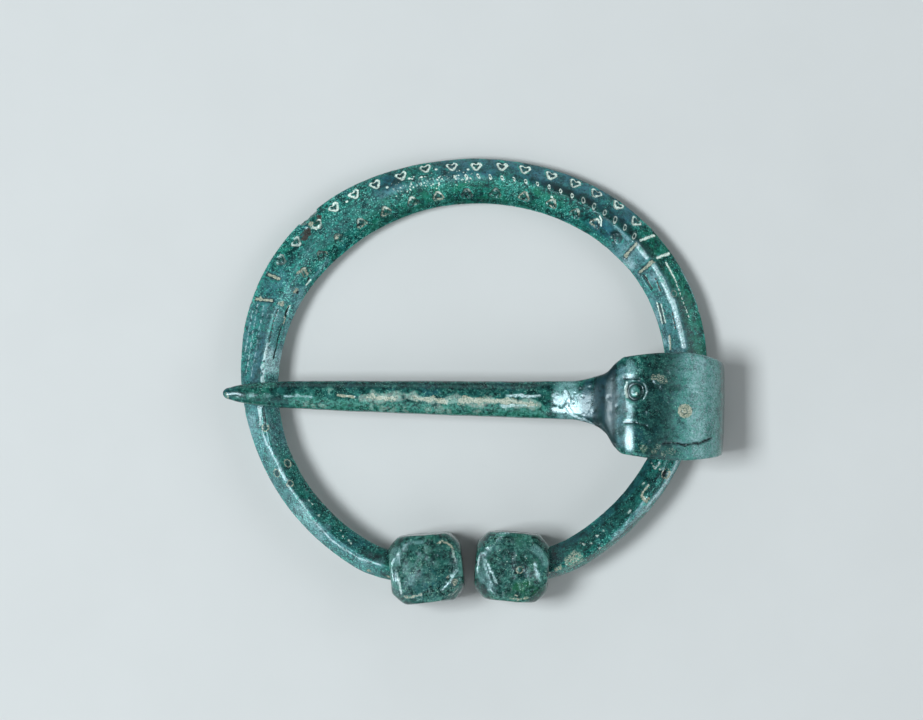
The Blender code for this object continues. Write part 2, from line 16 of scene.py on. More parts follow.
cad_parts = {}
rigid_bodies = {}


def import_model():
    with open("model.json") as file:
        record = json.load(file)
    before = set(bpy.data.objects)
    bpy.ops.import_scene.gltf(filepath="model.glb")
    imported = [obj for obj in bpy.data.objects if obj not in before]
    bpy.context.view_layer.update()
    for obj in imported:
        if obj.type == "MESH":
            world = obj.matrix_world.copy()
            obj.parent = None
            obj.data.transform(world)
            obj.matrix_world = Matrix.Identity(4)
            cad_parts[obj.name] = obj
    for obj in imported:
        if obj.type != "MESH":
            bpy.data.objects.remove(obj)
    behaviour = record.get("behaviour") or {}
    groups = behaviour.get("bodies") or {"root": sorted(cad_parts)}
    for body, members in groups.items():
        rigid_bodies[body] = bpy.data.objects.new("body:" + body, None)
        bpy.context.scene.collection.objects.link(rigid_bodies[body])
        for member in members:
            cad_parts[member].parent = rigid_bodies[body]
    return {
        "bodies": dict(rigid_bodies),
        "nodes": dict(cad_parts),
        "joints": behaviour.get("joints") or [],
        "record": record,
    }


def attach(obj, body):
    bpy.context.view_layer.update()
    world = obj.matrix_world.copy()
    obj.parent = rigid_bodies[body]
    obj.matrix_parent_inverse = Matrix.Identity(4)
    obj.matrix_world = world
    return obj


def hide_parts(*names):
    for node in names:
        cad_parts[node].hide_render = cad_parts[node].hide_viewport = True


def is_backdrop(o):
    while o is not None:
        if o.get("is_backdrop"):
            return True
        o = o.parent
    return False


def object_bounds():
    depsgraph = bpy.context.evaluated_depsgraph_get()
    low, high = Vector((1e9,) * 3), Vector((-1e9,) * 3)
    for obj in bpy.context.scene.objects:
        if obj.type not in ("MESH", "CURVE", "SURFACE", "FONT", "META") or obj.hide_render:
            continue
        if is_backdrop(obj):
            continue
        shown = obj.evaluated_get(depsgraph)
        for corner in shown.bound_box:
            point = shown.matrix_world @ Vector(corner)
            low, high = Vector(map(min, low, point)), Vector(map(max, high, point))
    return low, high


# The photograph's frame: pixels for each metre, and where the hoop's centre is in it
PIXELS_PER_METRE = 8000.0
FRAME_WIDTH = 923
FRAME_HEIGHT = 720
HOOP_CENTRE_PIXEL = (472.4, 379.2)

# Hoop: its middle line, as in the solid
HOOP_RADIUS = 0.0258
HOOP_OVAL = 0.00086
HOOP_OVAL_DEG = 10.4
HOOP_LOBE = 0.00027
HOOP_LOBE_DEG = 25.7

# Hoop bar: widths and thicknesses of its section
ARCH_WIDTH = 0.0056
SHOULDER_WIDTH = 0.0065
RIGHT_ARM_WIDTH = 0.0039
LEFT_ARM_WIDTH = 0.0037
ARCH_THICKNESS = 0.0039
SEAT_THICKNESS = 0.0032
ARM_THICKNESS = 0.0035
TOP_ROUNDNESS = 1.15
UNDERSIDE_ROUNDNESS = 1.7
RIDGE_SOFTNESS = 0.05

# Terminals
LEFT_TERMINAL_DEG = 256.3
RIGHT_TERMINAL_DEG = -78.1
TERMINAL_BEND_DEG = 20.0
TERMINAL_INSET = 0.0013
TERMINAL_DROP = 0.0006
TERMINAL_LENGTH = 0.0091
TERMINAL_WIDTH = 0.0085
TERMINAL_HEIGHT = 0.0092
TERMINAL_CORNER_CUT = 0.0030
TERMINAL_EDGE_CUT = 0.0014
TERMINAL_SHARPNESS = 34.0

# Pin: shaft, neck and the sheet that is rolled round the hoop
PIN_SEAT_DEG = -6.65
PIN_SEAT_INSET = 0.00065
PIN_SEAT_RISE = 0.0021
PIN_TURN_DEG = -1.2
PIN_LENGTH = 0.0567
PIN_REST_GAP = 0.0003
TIP_WIDTH = 0.0013
TIP_NOSE_WIDTH = 0.0022
TIP_NOSE_LENGTH = 0.0021
TIP_TAPER = 0.0085
SHAFT_START_WIDTH = 0.0034
SHAFT_END_WIDTH = 0.0048
SHAFT_FULL_WIDTH = 0.96 * SHAFT_END_WIDTH
SHAFT_FLATNESS = 0.66
NECK_WIDTH = 0.0060
NECK_THICKNESS = 0.0021
NECK_LENGTH = 0.0060
NECK_DROP = 0.0044
NECK_SLOPE_DEG = 14.0
DIP_DROP = 0.00275
SHEET_WALL = 0.0010
SHEET_END_WALL = 0.0009
SHEET_OFFSET = -0.0007
FLARE_WIDTH = 0.0121
LOW_FLARE_WIDTH = NECK_WIDTH + 0.28 * (FLARE_WIDTH - NECK_WIDTH)
MID_FLARE_WIDTH = NECK_WIDTH + 0.75 * (FLARE_WIDTH - NECK_WIDTH)
LOOP_WIDTH = 0.0134
FLANK_WIDTH = 0.0114
SHEET_END_WIDTH = 0.0096
LOOP_CLEARANCE = 0.0003
SEAM_GAP = 0.0003
SHOULDER_REACH = 0.0061
SHOULDER_SLOPE_DEG = 4.0
FLARE_REACH = 0.0078
FLARE_SLOPE_DEG = 30.0
NECK_FILLET = 0.0120
DIP_FILLET = 0.0080
SHOULDER_FILLET = 0.0045
SHAFT_ROUNDNESS = 2.2
NECK_ROUNDNESS = 3.6
SHEET_ROUNDNESS = 5.0

# Section of the bar along the hoop: angle, width, thickness, and how far the top ridge stands
# towards the outer edge, as a share of half the width
BAR_STATIONS = (
    (RIGHT_TERMINAL_DEG, RIGHT_ARM_WIDTH, ARM_THICKNESS, 0.45),
    (-48.0, RIGHT_ARM_WIDTH, ARM_THICKNESS, 0.60),
    (-24.0, RIGHT_ARM_WIDTH, SEAT_THICKNESS, 0.25),
    (7.0, 0.94 * ARCH_WIDTH, SEAT_THICKNESS, -0.08),
    (60.0, ARCH_WIDTH, ARCH_THICKNESS, 0.08),
    (95.0, ARCH_WIDTH, ARCH_THICKNESS, 0.18),
    (134.0, SHOULDER_WIDTH, ARCH_THICKNESS, 0.05),
    (163.0, 0.98 * ARCH_WIDTH, ARCH_THICKNESS, -0.25),
    (188.0, 1.16 * LEFT_ARM_WIDTH, ARM_THICKNESS, -0.10),
    (210.0, LEFT_ARM_WIDTH, ARM_THICKNESS, 0.11),
    (LEFT_TERMINAL_DEG, LEFT_ARM_WIDTH, ARM_THICKNESS, 0.11),
)

# Sections of the pin: the place they are measured from, how far on, width, thickness, roundness, and
# how far they stand to the side
PIN_STATIONS = (
    ("tip", 0.0, TIP_WIDTH, TIP_WIDTH * SHAFT_FLATNESS, SHAFT_ROUNDNESS, 0.0),
    ("tip", TIP_NOSE_LENGTH, TIP_NOSE_WIDTH, TIP_NOSE_WIDTH * SHAFT_FLATNESS, SHAFT_ROUNDNESS, 0.0),
    ("tip", TIP_TAPER, SHAFT_START_WIDTH, SHAFT_START_WIDTH * SHAFT_FLATNESS, SHAFT_ROUNDNESS, 0.0),
    ("flare", -2.0 * NECK_LENGTH, SHAFT_FULL_WIDTH, SHAFT_FULL_WIDTH * SHAFT_FLATNESS, SHAFT_ROUNDNESS, 0.0),
    ("flare", -1.3 * NECK_LENGTH, 0.99 * SHAFT_END_WIDTH, NECK_THICKNESS, NECK_ROUNDNESS, 0.0),
    ("flare", -NECK_LENGTH, SHAFT_END_WIDTH, NECK_THICKNESS, NECK_ROUNDNESS, 0.0),
    ("flare", -0.5 * NECK_LENGTH, NECK_WIDTH, NECK_THICKNESS, NECK_ROUNDNESS, 0.1 * SHEET_OFFSET),
    ("flare", -0.2 * NECK_LENGTH, LOW_FLARE_WIDTH, NECK_THICKNESS, NECK_ROUNDNESS, 0.5 * SHEET_OFFSET),
    ("flare", 0.0, MID_FLARE_WIDTH, 0.8 * NECK_THICKNESS, NECK_ROUNDNESS, 0.9 * SHEET_OFFSET),
    ("flare", 0.2 * NECK_LENGTH, FLARE_WIDTH, 1.4 * SHEET_WALL, SHEET_ROUNDNESS, SHEET_OFFSET),
    ("top", 0.0, LOOP_WIDTH, SHEET_WALL, SHEET_ROUNDNESS, SHEET_OFFSET),
    ("flank", 0.0, FLANK_WIDTH, SHEET_WALL, SHEET_ROUNDNESS, SHEET_OFFSET),
    ("end", 0.0, SHEET_END_WIDTH, SHEET_END_WALL, SHEET_ROUNDNESS, SHEET_OFFSET),
)

# Chip in the hoop's outer edge, as in the solid
CHIP_DEG = 135.0
CHIP_LENGTH = 0.0034
CHIP_DEPTH = 0.0006
CHIP_HEIGHT = 0.0024
CHIP_OUTLINE = (0.0011, 0.2, 61)
CHIP_FLOOR = (0.0007, 0.35, 62)

# Fineness of the skins: steps along the pieces, and points round a section
ARCH_STEP_DEG = 0.24
ARM_STEP_DEG = 0.5
ARCH_FROM_DEG = 5.0
ARCH_TO_DEG = 215.0
BAR_TOP_POINTS = 74
BAR_UNDER_POINTS = 14
TERMINAL_POINTS = 54
SHAFT_STEP = 0.00017
HEAD_STEP = 0.00011
ROLL_STEP = 0.00024
PIN_UPPER_POINTS = 92
PIN_UNDER_POINTS = 44
LAYER_REACH = 0.00025
NOSE_ROUNDING = 0.0006
HEAD_FROM = 1.3
HEAD_TO = 0.6
NOSE_BLUNTNESS = 0.05
FILLET_POINTS = 40
ROLL_STEP_DEG = 1.0
DENSE_OUTLINE = 4001
DENSE_SECTION = 1201
NOISE_CELLS = 32
NEIGHBOUR_STEP_DEG = 0.05
DIRECTION_ROUNDING = 1e6

# How far up a surface has to look to count as the upper side, and how far along with a mark's own
# direction to be marked with it
UPPER_SIDE = 0.1
SAME_SIDE = 0.15

# Where the solid bar is probed for the pin: steps, points across, and angles at its two crossings
PROBE_STEP_DEG = 0.5
PROBE_POINTS = 41
LOOP_PROBE_DEG = 30
CROSSING_PROBE_DEG = (150, 210)

# Punch marks: triangles with three pellets and a rim of pale fill, and small ovals on the ridge
STAMP_SIZE = 0.0021
STAMP_REACH = 0.00082
STAMP_DEPTH = 0.00020
STAMP_RIM = 0.00024
PELLETS = ((0.00004, 0.0, 0.00030), (-0.00042, 0.00040, 0.00025), (-0.00042, -0.00040, 0.00025))
PELLET_HEIGHT = 0.00014
STAMP_UNEVEN = (0.0005, 0.25)
STAMP_WALL = (-0.00002, 0.00006)
STAMP_BASE = (-0.00058, -0.00036)
STAMP_LEFT = (0.00005, 0.00025)
STAMP_POINT = (-0.00005, 0.00025)
STAMP_POINT_REACH = 0.0006
STAMP_SOIL = 0.45
CREAM_WEAR = (0.00045, 0.7)
BEIGE_WEAR = (0.0007, 0.9)
INNER_BEIGE = 1.2
OUTER_BASE_FILL = 0.9
INNER_BASE_FILL = 0.7
OVAL_DEPTH = 0.00012
OVAL_PELLET_HEIGHT = 0.00008
OVAL_UNEVEN = (0.0004, 0.3)
OVAL_SOIL = 0.8
PELLET_BORDER = (0.75, 1.0)
SOIL_BORDER = (1.0, 1.6)
RIM_SWELL = 0.45
RIM_BORDER = (1.0, 1.4)
OVAL_BORDER = (0.75, 1.1)
OVAL_PELLET_BORDER = (0.35, 0.65)

# Each row of punch marks: angle, share of the way from the middle line to the outer edge, and how
# much pale fill it holds
OUTER_STAMPS = """
148.1 .66 .42
142.1 .62 .5
135 .53 .55
128.8 .66 .95
122.6 .7 .95
116.5 .71 .95
109.3 .71 .95
102.6 .8 .9
95.5 .73 .65
89 .68 .8
82.1 .74 .95
76 .75 .95
68.9 .76 .95
62.4 .78 .9
56.4 .78 .75
50.1 .84 .95
44 .78 .95
"""
INNER_STAMPS = """
147.1 -.45 .4
140.5 -.5 .3
133.5 -.45 .32
125.4 -.48 .38
117.3 -.52 .45
108.6 -.52 .45
100.6 -.55 .5
91.7 -.55 .3
82.9 -.52 .28
74.2 -.5 .4
65.7 -.48 .45
58.2 -.48 .35
51.8 -.42 .45
44.6 -.38 .45
"""
RIDGE_DOTS = 17
RIDGE_DOTS_DEG = (41.5, 95.0)
RIDGE_DOTS_SHARE = 0.21
RIDGE_DOTS_SLANT = 0.4
RIDGE_RINGS_TO_DEG = 60.0
RIDGE_RING = (0.00110, 0.00055, 0.50)
RIDGE_PELLET = (0.00075, 0.00038, 0.85)
WHITE_GRAINS = 110
WHITE_GRAINS_SEED = 51
WHITE_GRAINS_DEG = (90.0, 113.0)
WHITE_GRAINS_SHARE = (0.18, 0.16)
WHITE_GRAIN_RADII = (0.00006, 0.00016)
WHITE_GRAIN_FILLS = (0.4, 0.9)

# Tones of the bar's patina: mask, from and to along the hoop, from and to across the top, amount. Rows that
# lighten the colour towards a shine are painted highlights.
BAR_TONES = """
blue 44 100 .2 1.2 1
bright 44 98 .42 1.2 .25
soil 32 71 .04 .42 .8
blue 44 53 -.7 .1 1
blue 108 118 .15 .9 .9
green 62 125 -1.2 .05 .85
soil 58 124 -1.3 -.72 .55
green 2 42 .15 1.2 1
soil 4 40 .14 .36 .7
bright 2 44 -1.2 -.02 .66
blue 2 44 -1.2 -.02 .55
bright 86 122 0 .3 .5
bright 112 152 -.4 .4 .24
bright 150 186 0 1.2 .3
blue 148 190 -.15 1.2 .4
beige 146 180 -.3 1.2 .2
bright 152 200 -1.2 -.1 .78
bright 186 245 .05 1.2 .62
soil -72 -12 -.6 .25 .55
blue -64 -12 -1.2 -.55 .6
soil -64 -12 -1.2 -.55 .55
soil 186 252 -1.2 0 .35
soil 230 252 -.6 .05 .7
"""
TONE_LEVEL = 0.85
TONE_CHANGE = 0.45
TONE_LUMPS = (0.0016, 41)
TONE_SOFT_DEG = 4.0
TONE_SOFT_SHARE = 0.12

# Soft borders of the other marks, as shares of a line's width or of a radius, and their unevenness
LINE_BORDER = (0.25, 0.65)
RING_UNEVEN = (0.0005, 0.3)
SPOT_BORDER = (0.45, 1.0)
SPOT_REACH = 1.4
SPOT_LUMPS = 0.6
GRAIN_BORDER = (0.5, 1.0)
GRAIN_HEIGHT = 0.00004
RAGGED_SEED = 11

# Masks that the meshes carry. One of them paints highlights and shine into the colour, and the dark mask of
# dirt also paints shade in places.
MASKS = ("cream", "beige", "pale", "soil", "rust", "bright", "blue", "green")

# Marks of each piece, in the order they are laid. A row has a kind, the pixels it runs along, and
# after each colon one stroke along them. Lines that share their strokes stand between slashes, and
# of a spot, a ring or a grain there is one at each pixel. A stroke has its sizes in hundredths of a
# millimetre: the width of a line, or the radius of the rest and the width of a ring's line, and
# then the depth. The shares after them say how uneven its edge is and how strongly each mask shows.
HUNDREDTH = 0.00001
# The light strokes along the ridges, edges and the right arm's inner facet are painted highlights and shine,
# some whitened with cream.
BAR_MARKS = """
grain 387,186 409,177 347,200 436,168 468,168 422,176 551,199 : 22 cream=1
line 642,240 655,233 / 658,257 670,251 : 32 12 cream=.9
line 623,257 636,243 / 637,273 652,261 / 267,273 278,278 / 256,297 271,300
: 72 12 soil=.75
: 36 -2 uneven=.7 beige=.85
line 637,243 647,256 / 653,263 661,277 671,300 678,325 682,345
: 110 -4 uneven=.15 blue=.6 bright=.66
: 75 -4 uneven=.15 bright=1 cream=.26
line 614,229 626,241 : 60 bright=.7 blue=.8
spot 614,236 : 90 16 soil=.8
line 598,217 600,222 599,227 : 22 cream=.9
line 667,261 675,277 : 26 10 cream=.9
dashes 676,279 690,316 : 20 10 count=9 cream=.75
line 641,277 649,290 : 40 30 soil=1
line 643,277 650,289 : 22 cream=.6
dashes 653,279 658,291 : 25 10 count=4 rust=.8
line 655,303 660,323 : 22 -3 cream=.7
line 657,305 661,323 : 28 20 soil=.9
line 659,304 663,323 : 20 -3 cream=.6
dashes 670,313 673,328 : 22 10 count=4 rust=.8
line 667,335 668,349 : 30 10 beige=.8
ring 674,292 : 38 20 10 cream=.4
line 685,268 694,286 702,310 : 20 bright=.9
line 679,460 673,472 666,484 657,496 647,507 : 130 uneven=.5 bright=.75
line 678,462 672,473 665,485 656,497 646,508 : 70 -4 bright=1
line 647,508 632,523 612,541 : 100 uneven=.9 bright=.8
spot 667,474 : 60 40 soil=1
ring 667,474 : 60 25 beige=.8
line 649,462 653,467 657,462 : 24 10 uneven=.8 cream=.45
line 646,484 641,490 640,495 644,499 648,496 : 30 10 uneven=.8 beige=.9
spot 641,482 658,468 627,510 603,528 595,534 590,541 582,541 599,547 : 26 3 uneven=.9 cream=.5
line 567,558 573,553 578,556 569,559 : 140 -4 uneven=.5 beige=.42 pale=1
spot 549,573 556,570 561,567 388,577 368,571 : 40 -4 beige=.6 green=.8
spot 306,231 : 80 20 rust=.7
spot 304,236 : 60 10 rust=.7
spot 318,216 : 50 15 rust=.7
line 311,226 316,228 319,223 : 28 cream=.8
spot 311,222 : 40 beige=.8
line 300,273 307,270 310,274 : 40 beige=.7
spot 311,280 : 30 30 soil=1
line 308,285 313,281 : 22 cream=.7
spot 298,291 : 50 beige=.6
spot 300,293 : 28 20 soil=1
spot 284,305 : 50 beige=.6
spot 339,238 : 40 beige=.6
line 291,308 289,315 : 45 40 soil=1
line 293,307 286,317 : 22 cream=.7
line 288,317 286,323 : 28 beige=.9
line 284,328 281,338 278,350 276,358 : 28 20 soil=.95
line 330,262 315,278 302,296 291,320 285,345 : 80 uneven=.9 bright=.66
dashes 279,308 272,342 : 24 10 count=9 rust=.5
line 268,343 265,358 264,382 : 42 -3 uneven=.7 bright=1 cream=.35
spot 266,361 265,368 264,372 : 18 15 soil=1
dashes 257,303 245,372 / 263,305 250,376 / 252,310 244,350 : 24 -2 count=11 bright=.85 cream=.3
line 261,336 258,350 255,380 : 180 uneven=.9 blue=1 soil=.2
line 270,306 264,325 262,345 : 140 uneven=.9 soil=.3
line 258,407 260,424 : 60 -3 uneven=.6 bright=1 cream=.3
line 263,408 265,424 : 45 10 soil=.8
line 261,431 266,443 275,456 286,478 / 288,484 300,500 313,520 330,540
: 90 -2 uneven=.8 bright=.66
: 34 -2 uneven=.5 bright=1
line 330,540 345,551 362,560 379,564 : 80 uneven=.8 bright=.66 : 30 -2 uneven=.6 bright=1
spot 264,427 : 42 10 soil=.7
spot 276,473 290,462 : 50 10 soil=.7
spot 292,481 : 40 10 soil=.7
ring 264,427 : 42 20 beige=.5
ring 276,473 290,462 : 50 20 beige=.5
ring 292,481 : 40 20 beige=.5
spot 310,498 314,502 320,513 342,528 345,534 350,538 353,541 : 22 cream=.6
"""
# The light strokes and patches on the terminal's faces and edges are painted highlights and shine; its beige,
# cream and green marks are patina.
LEFT_TERMINAL_MARKS = """
line 393,548 392,570 396,592 : 110 bright=.55
line 396,572 398,580 401,592 : 35 -5 bright=1 cream=.4
line 399,545 399,562 : 25 -4 bright=.9
line 402,543 413,540 422,540 : 30 uneven=.9 bright=.62
line 438,540 443,538 449,540 454,545 : 45 6 uneven=.8 beige=.6
line 453,545 456,558 : 26 uneven=.9 cream=.36
line 443,590 450,582 459,569 : 30 -8 uneven=.7 bright=1
line 461,570 462,580 : 22 bright=.6
spot 456,581 : 90 20 uneven=.8 beige=.45
line 446,595 453,594 459,590 : 30 uneven=.8 bright=.7 beige=.4
line 405,597 413,596 420,594 : 36 uneven=.9 bright=.7 beige=.5
spot 424,554 411,565 : 90 uneven=.9 bright=.3 green=.4
spot 437,562 : 80 uneven=.9 bright=.3 green=.4
spot 428,578 : 100 uneven=.9 bright=.3 green=.4
"""
# The light strokes and patches on the terminal's faces and edges are painted highlights and shine; its beige,
# cream and green marks are patina.
RIGHT_TERMINAL_MARKS = """
line 483,562 486,578 491,588 : 120 bright=.6
line 478,568 481,580 : 80 bright=.55
line 484,557 490,570 496,583 : 26 -8 uneven=.8 bright=1 cream=.3
line 482,560 487,573 492,586 : 24 -6 uneven=.8 bright=1
line 486,588 493,592 : 34 -4 bright=1
line 494,533 501,531 508,530 : 24 uneven=.8 bright=.9
line 535,547 542,552 546,560 : 110 bright=.55
line 536,562 538,571 541,580 : 32 -6 uneven=.7 bright=1
ring 521,569 : 40 22 6 beige=.5 green=.8
grain 513,553 527,556 514,556 506,559 516,552 499,547 : 14 cream=.6
line 512,598 520,598 528,597 : 34 uneven=.9 beige=.5 green=1
spot 520,588 528,583 534,590 : 100 green=.9
"""
# The light strokes on the shaft, the neck, the loop's shoulder and flank, and round its ring mark are painted
# highlights and shine, some whitened with cream or pale patina. The dark strokes across the dip before the
# loop and across the loop's top are painted shade, and the dark band along the shaft's upper edge makes that
# side darker.
PIN_MARKS = """
line 227,392 228,398 : 50 uneven=.8 cream=.3 beige=.5
line 232,392 242,394 : 80 soil=.6
line 284,397 298,397 312,398 : 40 uneven=.9 bright=.85
line 339,393 346,394 354,395 : 36 4 beige=.8
line 367,396 380,397 394,398 : 60 uneven=.9 beige=.4 : 39 3 uneven=.8 beige=.85
line 415,397 430,399 446,402 : 70 uneven=.9 beige=.4 : 45.5 3 uneven=.8 beige=.85
line 460,400 472,400 484,400 : 95 uneven=.9 beige=.4 : 61.75 3 uneven=.8 beige=.85
line 484,400 498,401 512,402 : 80 uneven=.9 beige=.4 : 52 3 uneven=.8 beige=.85
line 512,403 526,404 538,405 : 45 uneven=.9 beige=.4 : 29.25 3 uneven=.8 beige=.85
line 360,396 404,396 447,402 462,400 500,401 540,405 : 105 uneven=.8 cream=.34 pale=.8
line 508,394 520,393 529,395 540,394 / 502,407 514,407 527,406 534,407 : 40 -4 uneven=.9 bright=1 cream=.3
spot 305,406 324,408 372,408 428,411 478,413 330,386 : 60 uneven=.9 pale=1 cream=.3
spot 314,407 394,411 449,413 : 70 uneven=.9 pale=1 cream=.3
spot 382,410 438,412 : 80 uneven=.9 pale=1 cream=.3
spot 404,412 : 50 uneven=.9 pale=1 cream=.3
line 300,404 360,409 440,412 540,415 : 190 green=.9 pale=.9
line 285,383 360,383 450,384 545,384 : 110 soil=.45
line 563,390 567,398 564,405 569,413 : 55 -2 bright=1
line 566,414 580,420 592,425 : 40 bright=1
line 565,388 565,416 : 320 bright=.66
line 585,384 585,420 : 160 blue=.9 soil=.35
line 599,380 598,428 : 260 blue=1 soil=.7
line 608,368 608,442 : 200 blue=1 soil=.8
line 617,368 617,442 : 120 blue=.9 bright=.35
line 627,364 627,450 : 120 uneven=.8 bright=.6
line 656,358 656,452 : 500 soil=.55
spot 688,360 688,370 688,380 688,390 688,400 688,410 688,420 688,430 688,440 688,450
: 460 uneven=.35 bright=.34 pale=.5
spot 704,360 704,370 704,380 704,390 704,400 704,410 704,420 704,430 704,440 704,450
: 380 uneven=.35 bright=.74 pale=.6
ring 632,390 : 95 55 30 soil=.9
line 624,381 622,388 624,396 : 36 -6 bright=1 cream=.5
line 642,383 644,390 641,397 : 26 -6 bright=1 cream=.3
spot 633,392 : 22 -5 cream=.7
spot 684,410 : 115 6 uneven=.1 beige=1
ring 684,410 : 38 20 8 green=.9 soil=.7
line 640,383 654,386 674,386 : 100 4 uneven=.8 soil=.7
line 649,377 655,378 662,380 : 70 uneven=.8 beige=.35
line 660,441 672,440 684,443 697,441 710,437 : 32 18 soil=1
line 622,421 632,421 642,424 : 40 4 soil=.85
line 622,377 634,378 : 60 4 soil=.7
line 688,386 696,385 703,387 / 692,391 700,392 / 690,436 703,430 708,422 : 28 bright=.8
spot 640,447 650,450 660,453 668,449 655,445 : 70 green=.9 beige=.3
"""

# Surface of the pieces: size, height and seed of their unevenness, number, size, depth and seed of
# their pits, and how far an edge stands out where it is worn
BAR_SURFACE = ((0.0035, 0.00006, 3), (500, 0.00035, 0.00006, 5), 0.00002)
TERMINAL_SURFACE = ((0.0030, 0.00010, 21), (200, 0.00040, 0.00005, 23), 0.00004)
PIN_SURFACE = ((0.0030, 0.00004, 31), (400, 0.00045, 0.00003, 33), 0.00003)
PIT_SIZES = (0.35, 1.0)
PIT_SOIL = (0.0, 0.6)
ANY_DIRECTION = (0.31, 0.87, 0.2)
FINER_SIZE = 0.3
FINER_HEIGHT = 0.4
WEAR_BLURS = 12
WEAR_LUMPS = (0.0011, 17)
WEAR_PATCHES = (-0.3, 0.5)
RUBBED_BEND = (0.4, 1.4)
HOLLOW_BEND = (0.3, 1.2)
HOLLOW_SOIL = 0.7

# Patina of the pieces: its colours, roughness from the most to the least glossy places, where its
# grains begin, and the height of its relief
PATINAS = {
    "hoop_patina": {
        "deep": (0.001, 0.028, 0.029),
        "middle": (0.006, 0.125, 0.102),
        "light": (0.035, 0.340, 0.275),
        "grain": (0.270, 0.860, 0.720),
        "blue": (0.014, 0.115, 0.165),
        "green": (0.005, 0.175, 0.095),
        "painted_sheen": (0.155, 0.350, 0.385),
        "gloss": (0.16, 0.32),
        "grain_from": 0.72,
        "relief": 0.00009,
    },
    "terminal_patina": {
        "deep": (0.002, 0.020, 0.019),
        "middle": (0.015, 0.090, 0.075),
        "light": (0.080, 0.250, 0.200),
        "grain": (0.340, 0.620, 0.480),
        "blue": (0.020, 0.100, 0.120),
        "green": (0.012, 0.115, 0.045),
        "painted_sheen": (0.160, 0.320, 0.320),
        "gloss": (0.09, 0.19),
        "grain_from": 0.76,
        "relief": 0.00009,
    },
    "pin_patina": {
        "deep": (0.002, 0.024, 0.024),
        "middle": (0.012, 0.095, 0.083),
        "light": (0.060, 0.270, 0.215),
        "grain": (0.280, 0.620, 0.500),
        "blue": (0.014, 0.085, 0.125),
        "green": (0.008, 0.125, 0.072),
        "painted_sheen": (0.200, 0.400, 0.400),
        "gloss": (0.08, 0.18),
        "grain_from": 0.76,
        "relief": 0.00005,
    },
}
# Colour of the strongest painted highlights
PAINTED_GLINT = (0.56, 0.76, 0.80)
HOLLOW = (0.001, 0.010, 0.011)
# Colour of dirt and of painted shade
SOIL_AND_SHADE = (0.001, 0.009, 0.010)
RUST = ((0.012, 0.012, 0.011), (0.110, 0.078, 0.060))
BEIGE = ((0.17, 0.22, 0.16), (0.48, 0.48, 0.37))
CREAM = ((0.30, 0.48, 0.42), (0.84, 0.94, 0.84))
FLOOR_PAINT = ((0.60, 0.60, 0.59), (0.64, 0.64, 0.63))
WAX = {
    "Specular IOR Level": 0.5,
    "Specular Tint": (0.72, 0.94, 1.0),
    "Coat Weight": 0.15,
    "Coat Roughness": 0.08,
}

# Noises of the materials: scale, detail and roughness
NOISES = {
    "mottle": (900, 8, 0.75),
    "flecks": (2600, 4, 0.7),
    "grains": (5600, 3, 0.6),
    "wide": (330, 4, 0.6),
    "hollows": (1500, 6, 0.75),
    "blue": (170, 3, 0.6),
    "green": (210, 3, 0.6),
    "floor": (60, 3, 0.6),
}

# How noises and masks turn into the share of a layer: their low and high values, and the shares
# that these become where they aren't 0 and 1
RANGES = {
    "body": (0.42, 0.57),
    "tint": (0.40, 0.60),
    "blue": (0.48, 0.64, 0.0, 0.6),
    "green": (0.52, 0.66, 0.0, 0.5),
    "painted_glint": (0.60, 1.0),
    "sheen_share": (0.82, 1.14, 0.30, 1.10),
    "flecks": (0.60, 0.80, 0.0, 0.75),
    "flecks_off_sheen_and_blue": (0.15, 0.8, 1.0, 0.35),
    "worn": (0.38, 0.62),
    "hollows": (0.50, 0.68, 0.0, 0.6),
    "hollows_off_sheen": (0.2, 0.8, 1.0, 0.25),
    "rust": (0.60, 1.25, 0.0, 0.9),
    "beige": (0.70, 1.15),
    "beige_edge": (0.0, 0.4),
    "beige_tone": (0.35, 0.65),
    "cream": (0.15, 0.75),
    "cream_tone": (0.32, 0.56),
    "gloss": (0.35, 0.70),
}
WIDE_IN_FLECKS = 0.25
WIDE_IN_GRAIN = 0.3
BLUE_OFF_GRAIN = 0.10
GRAIN_RISE = 0.12
MOST_GRAIN = 0.8
GRAINS_IN_RELIEF = 0.4
RELIEF_STRENGTH = 0.5
ROUGHENED = (("cream", 0.35), ("blue", 0.15), ("soil", 0.10))

# Soft boxes round the brooch: azimuth and elevation in degrees, distance, width, height and power
LIGHTS = {
    "left_softbox": (182, 63, 0.8, 0.24, 0.23, 5.6),
    "low_left_softbox": (205, 8, 0.8, 0.5, 0.10, 0.8),
    "right_softbox": (2, 37, 0.8, 0.7, 0.5, 1.7),
    "front_softbox": (262, 54, 0.9, 0.9, 0.7, 1.4),
    "back_softbox": (92, 26, 0.9, 0.9, 0.4, 0.8),
}
LIGHT_COLOUR = (0.88, 0.96, 1.0)
SURROUND_COLOUR = (0.9, 0.95, 1.0)
SURROUND_STRENGTH = 0.12
FLOOR_ROUGHNESS = 0.8
FLOOR_HALF = 2.0
FLOOR_DROP = 0.00002
CAMERA_DISTANCE = 0.9
FOCUS_HEIGHT = 0.002
SENSOR_WIDTH = 36.0
CAMERA_CLIP = 0.01


def smooth_step(value, low, high):
    """0 below low, 1 above high, and a smooth rise between them."""
    share = np.clip((value - low) / (high - low), 0, 1)
    return share * share * (3 - 2 * share)


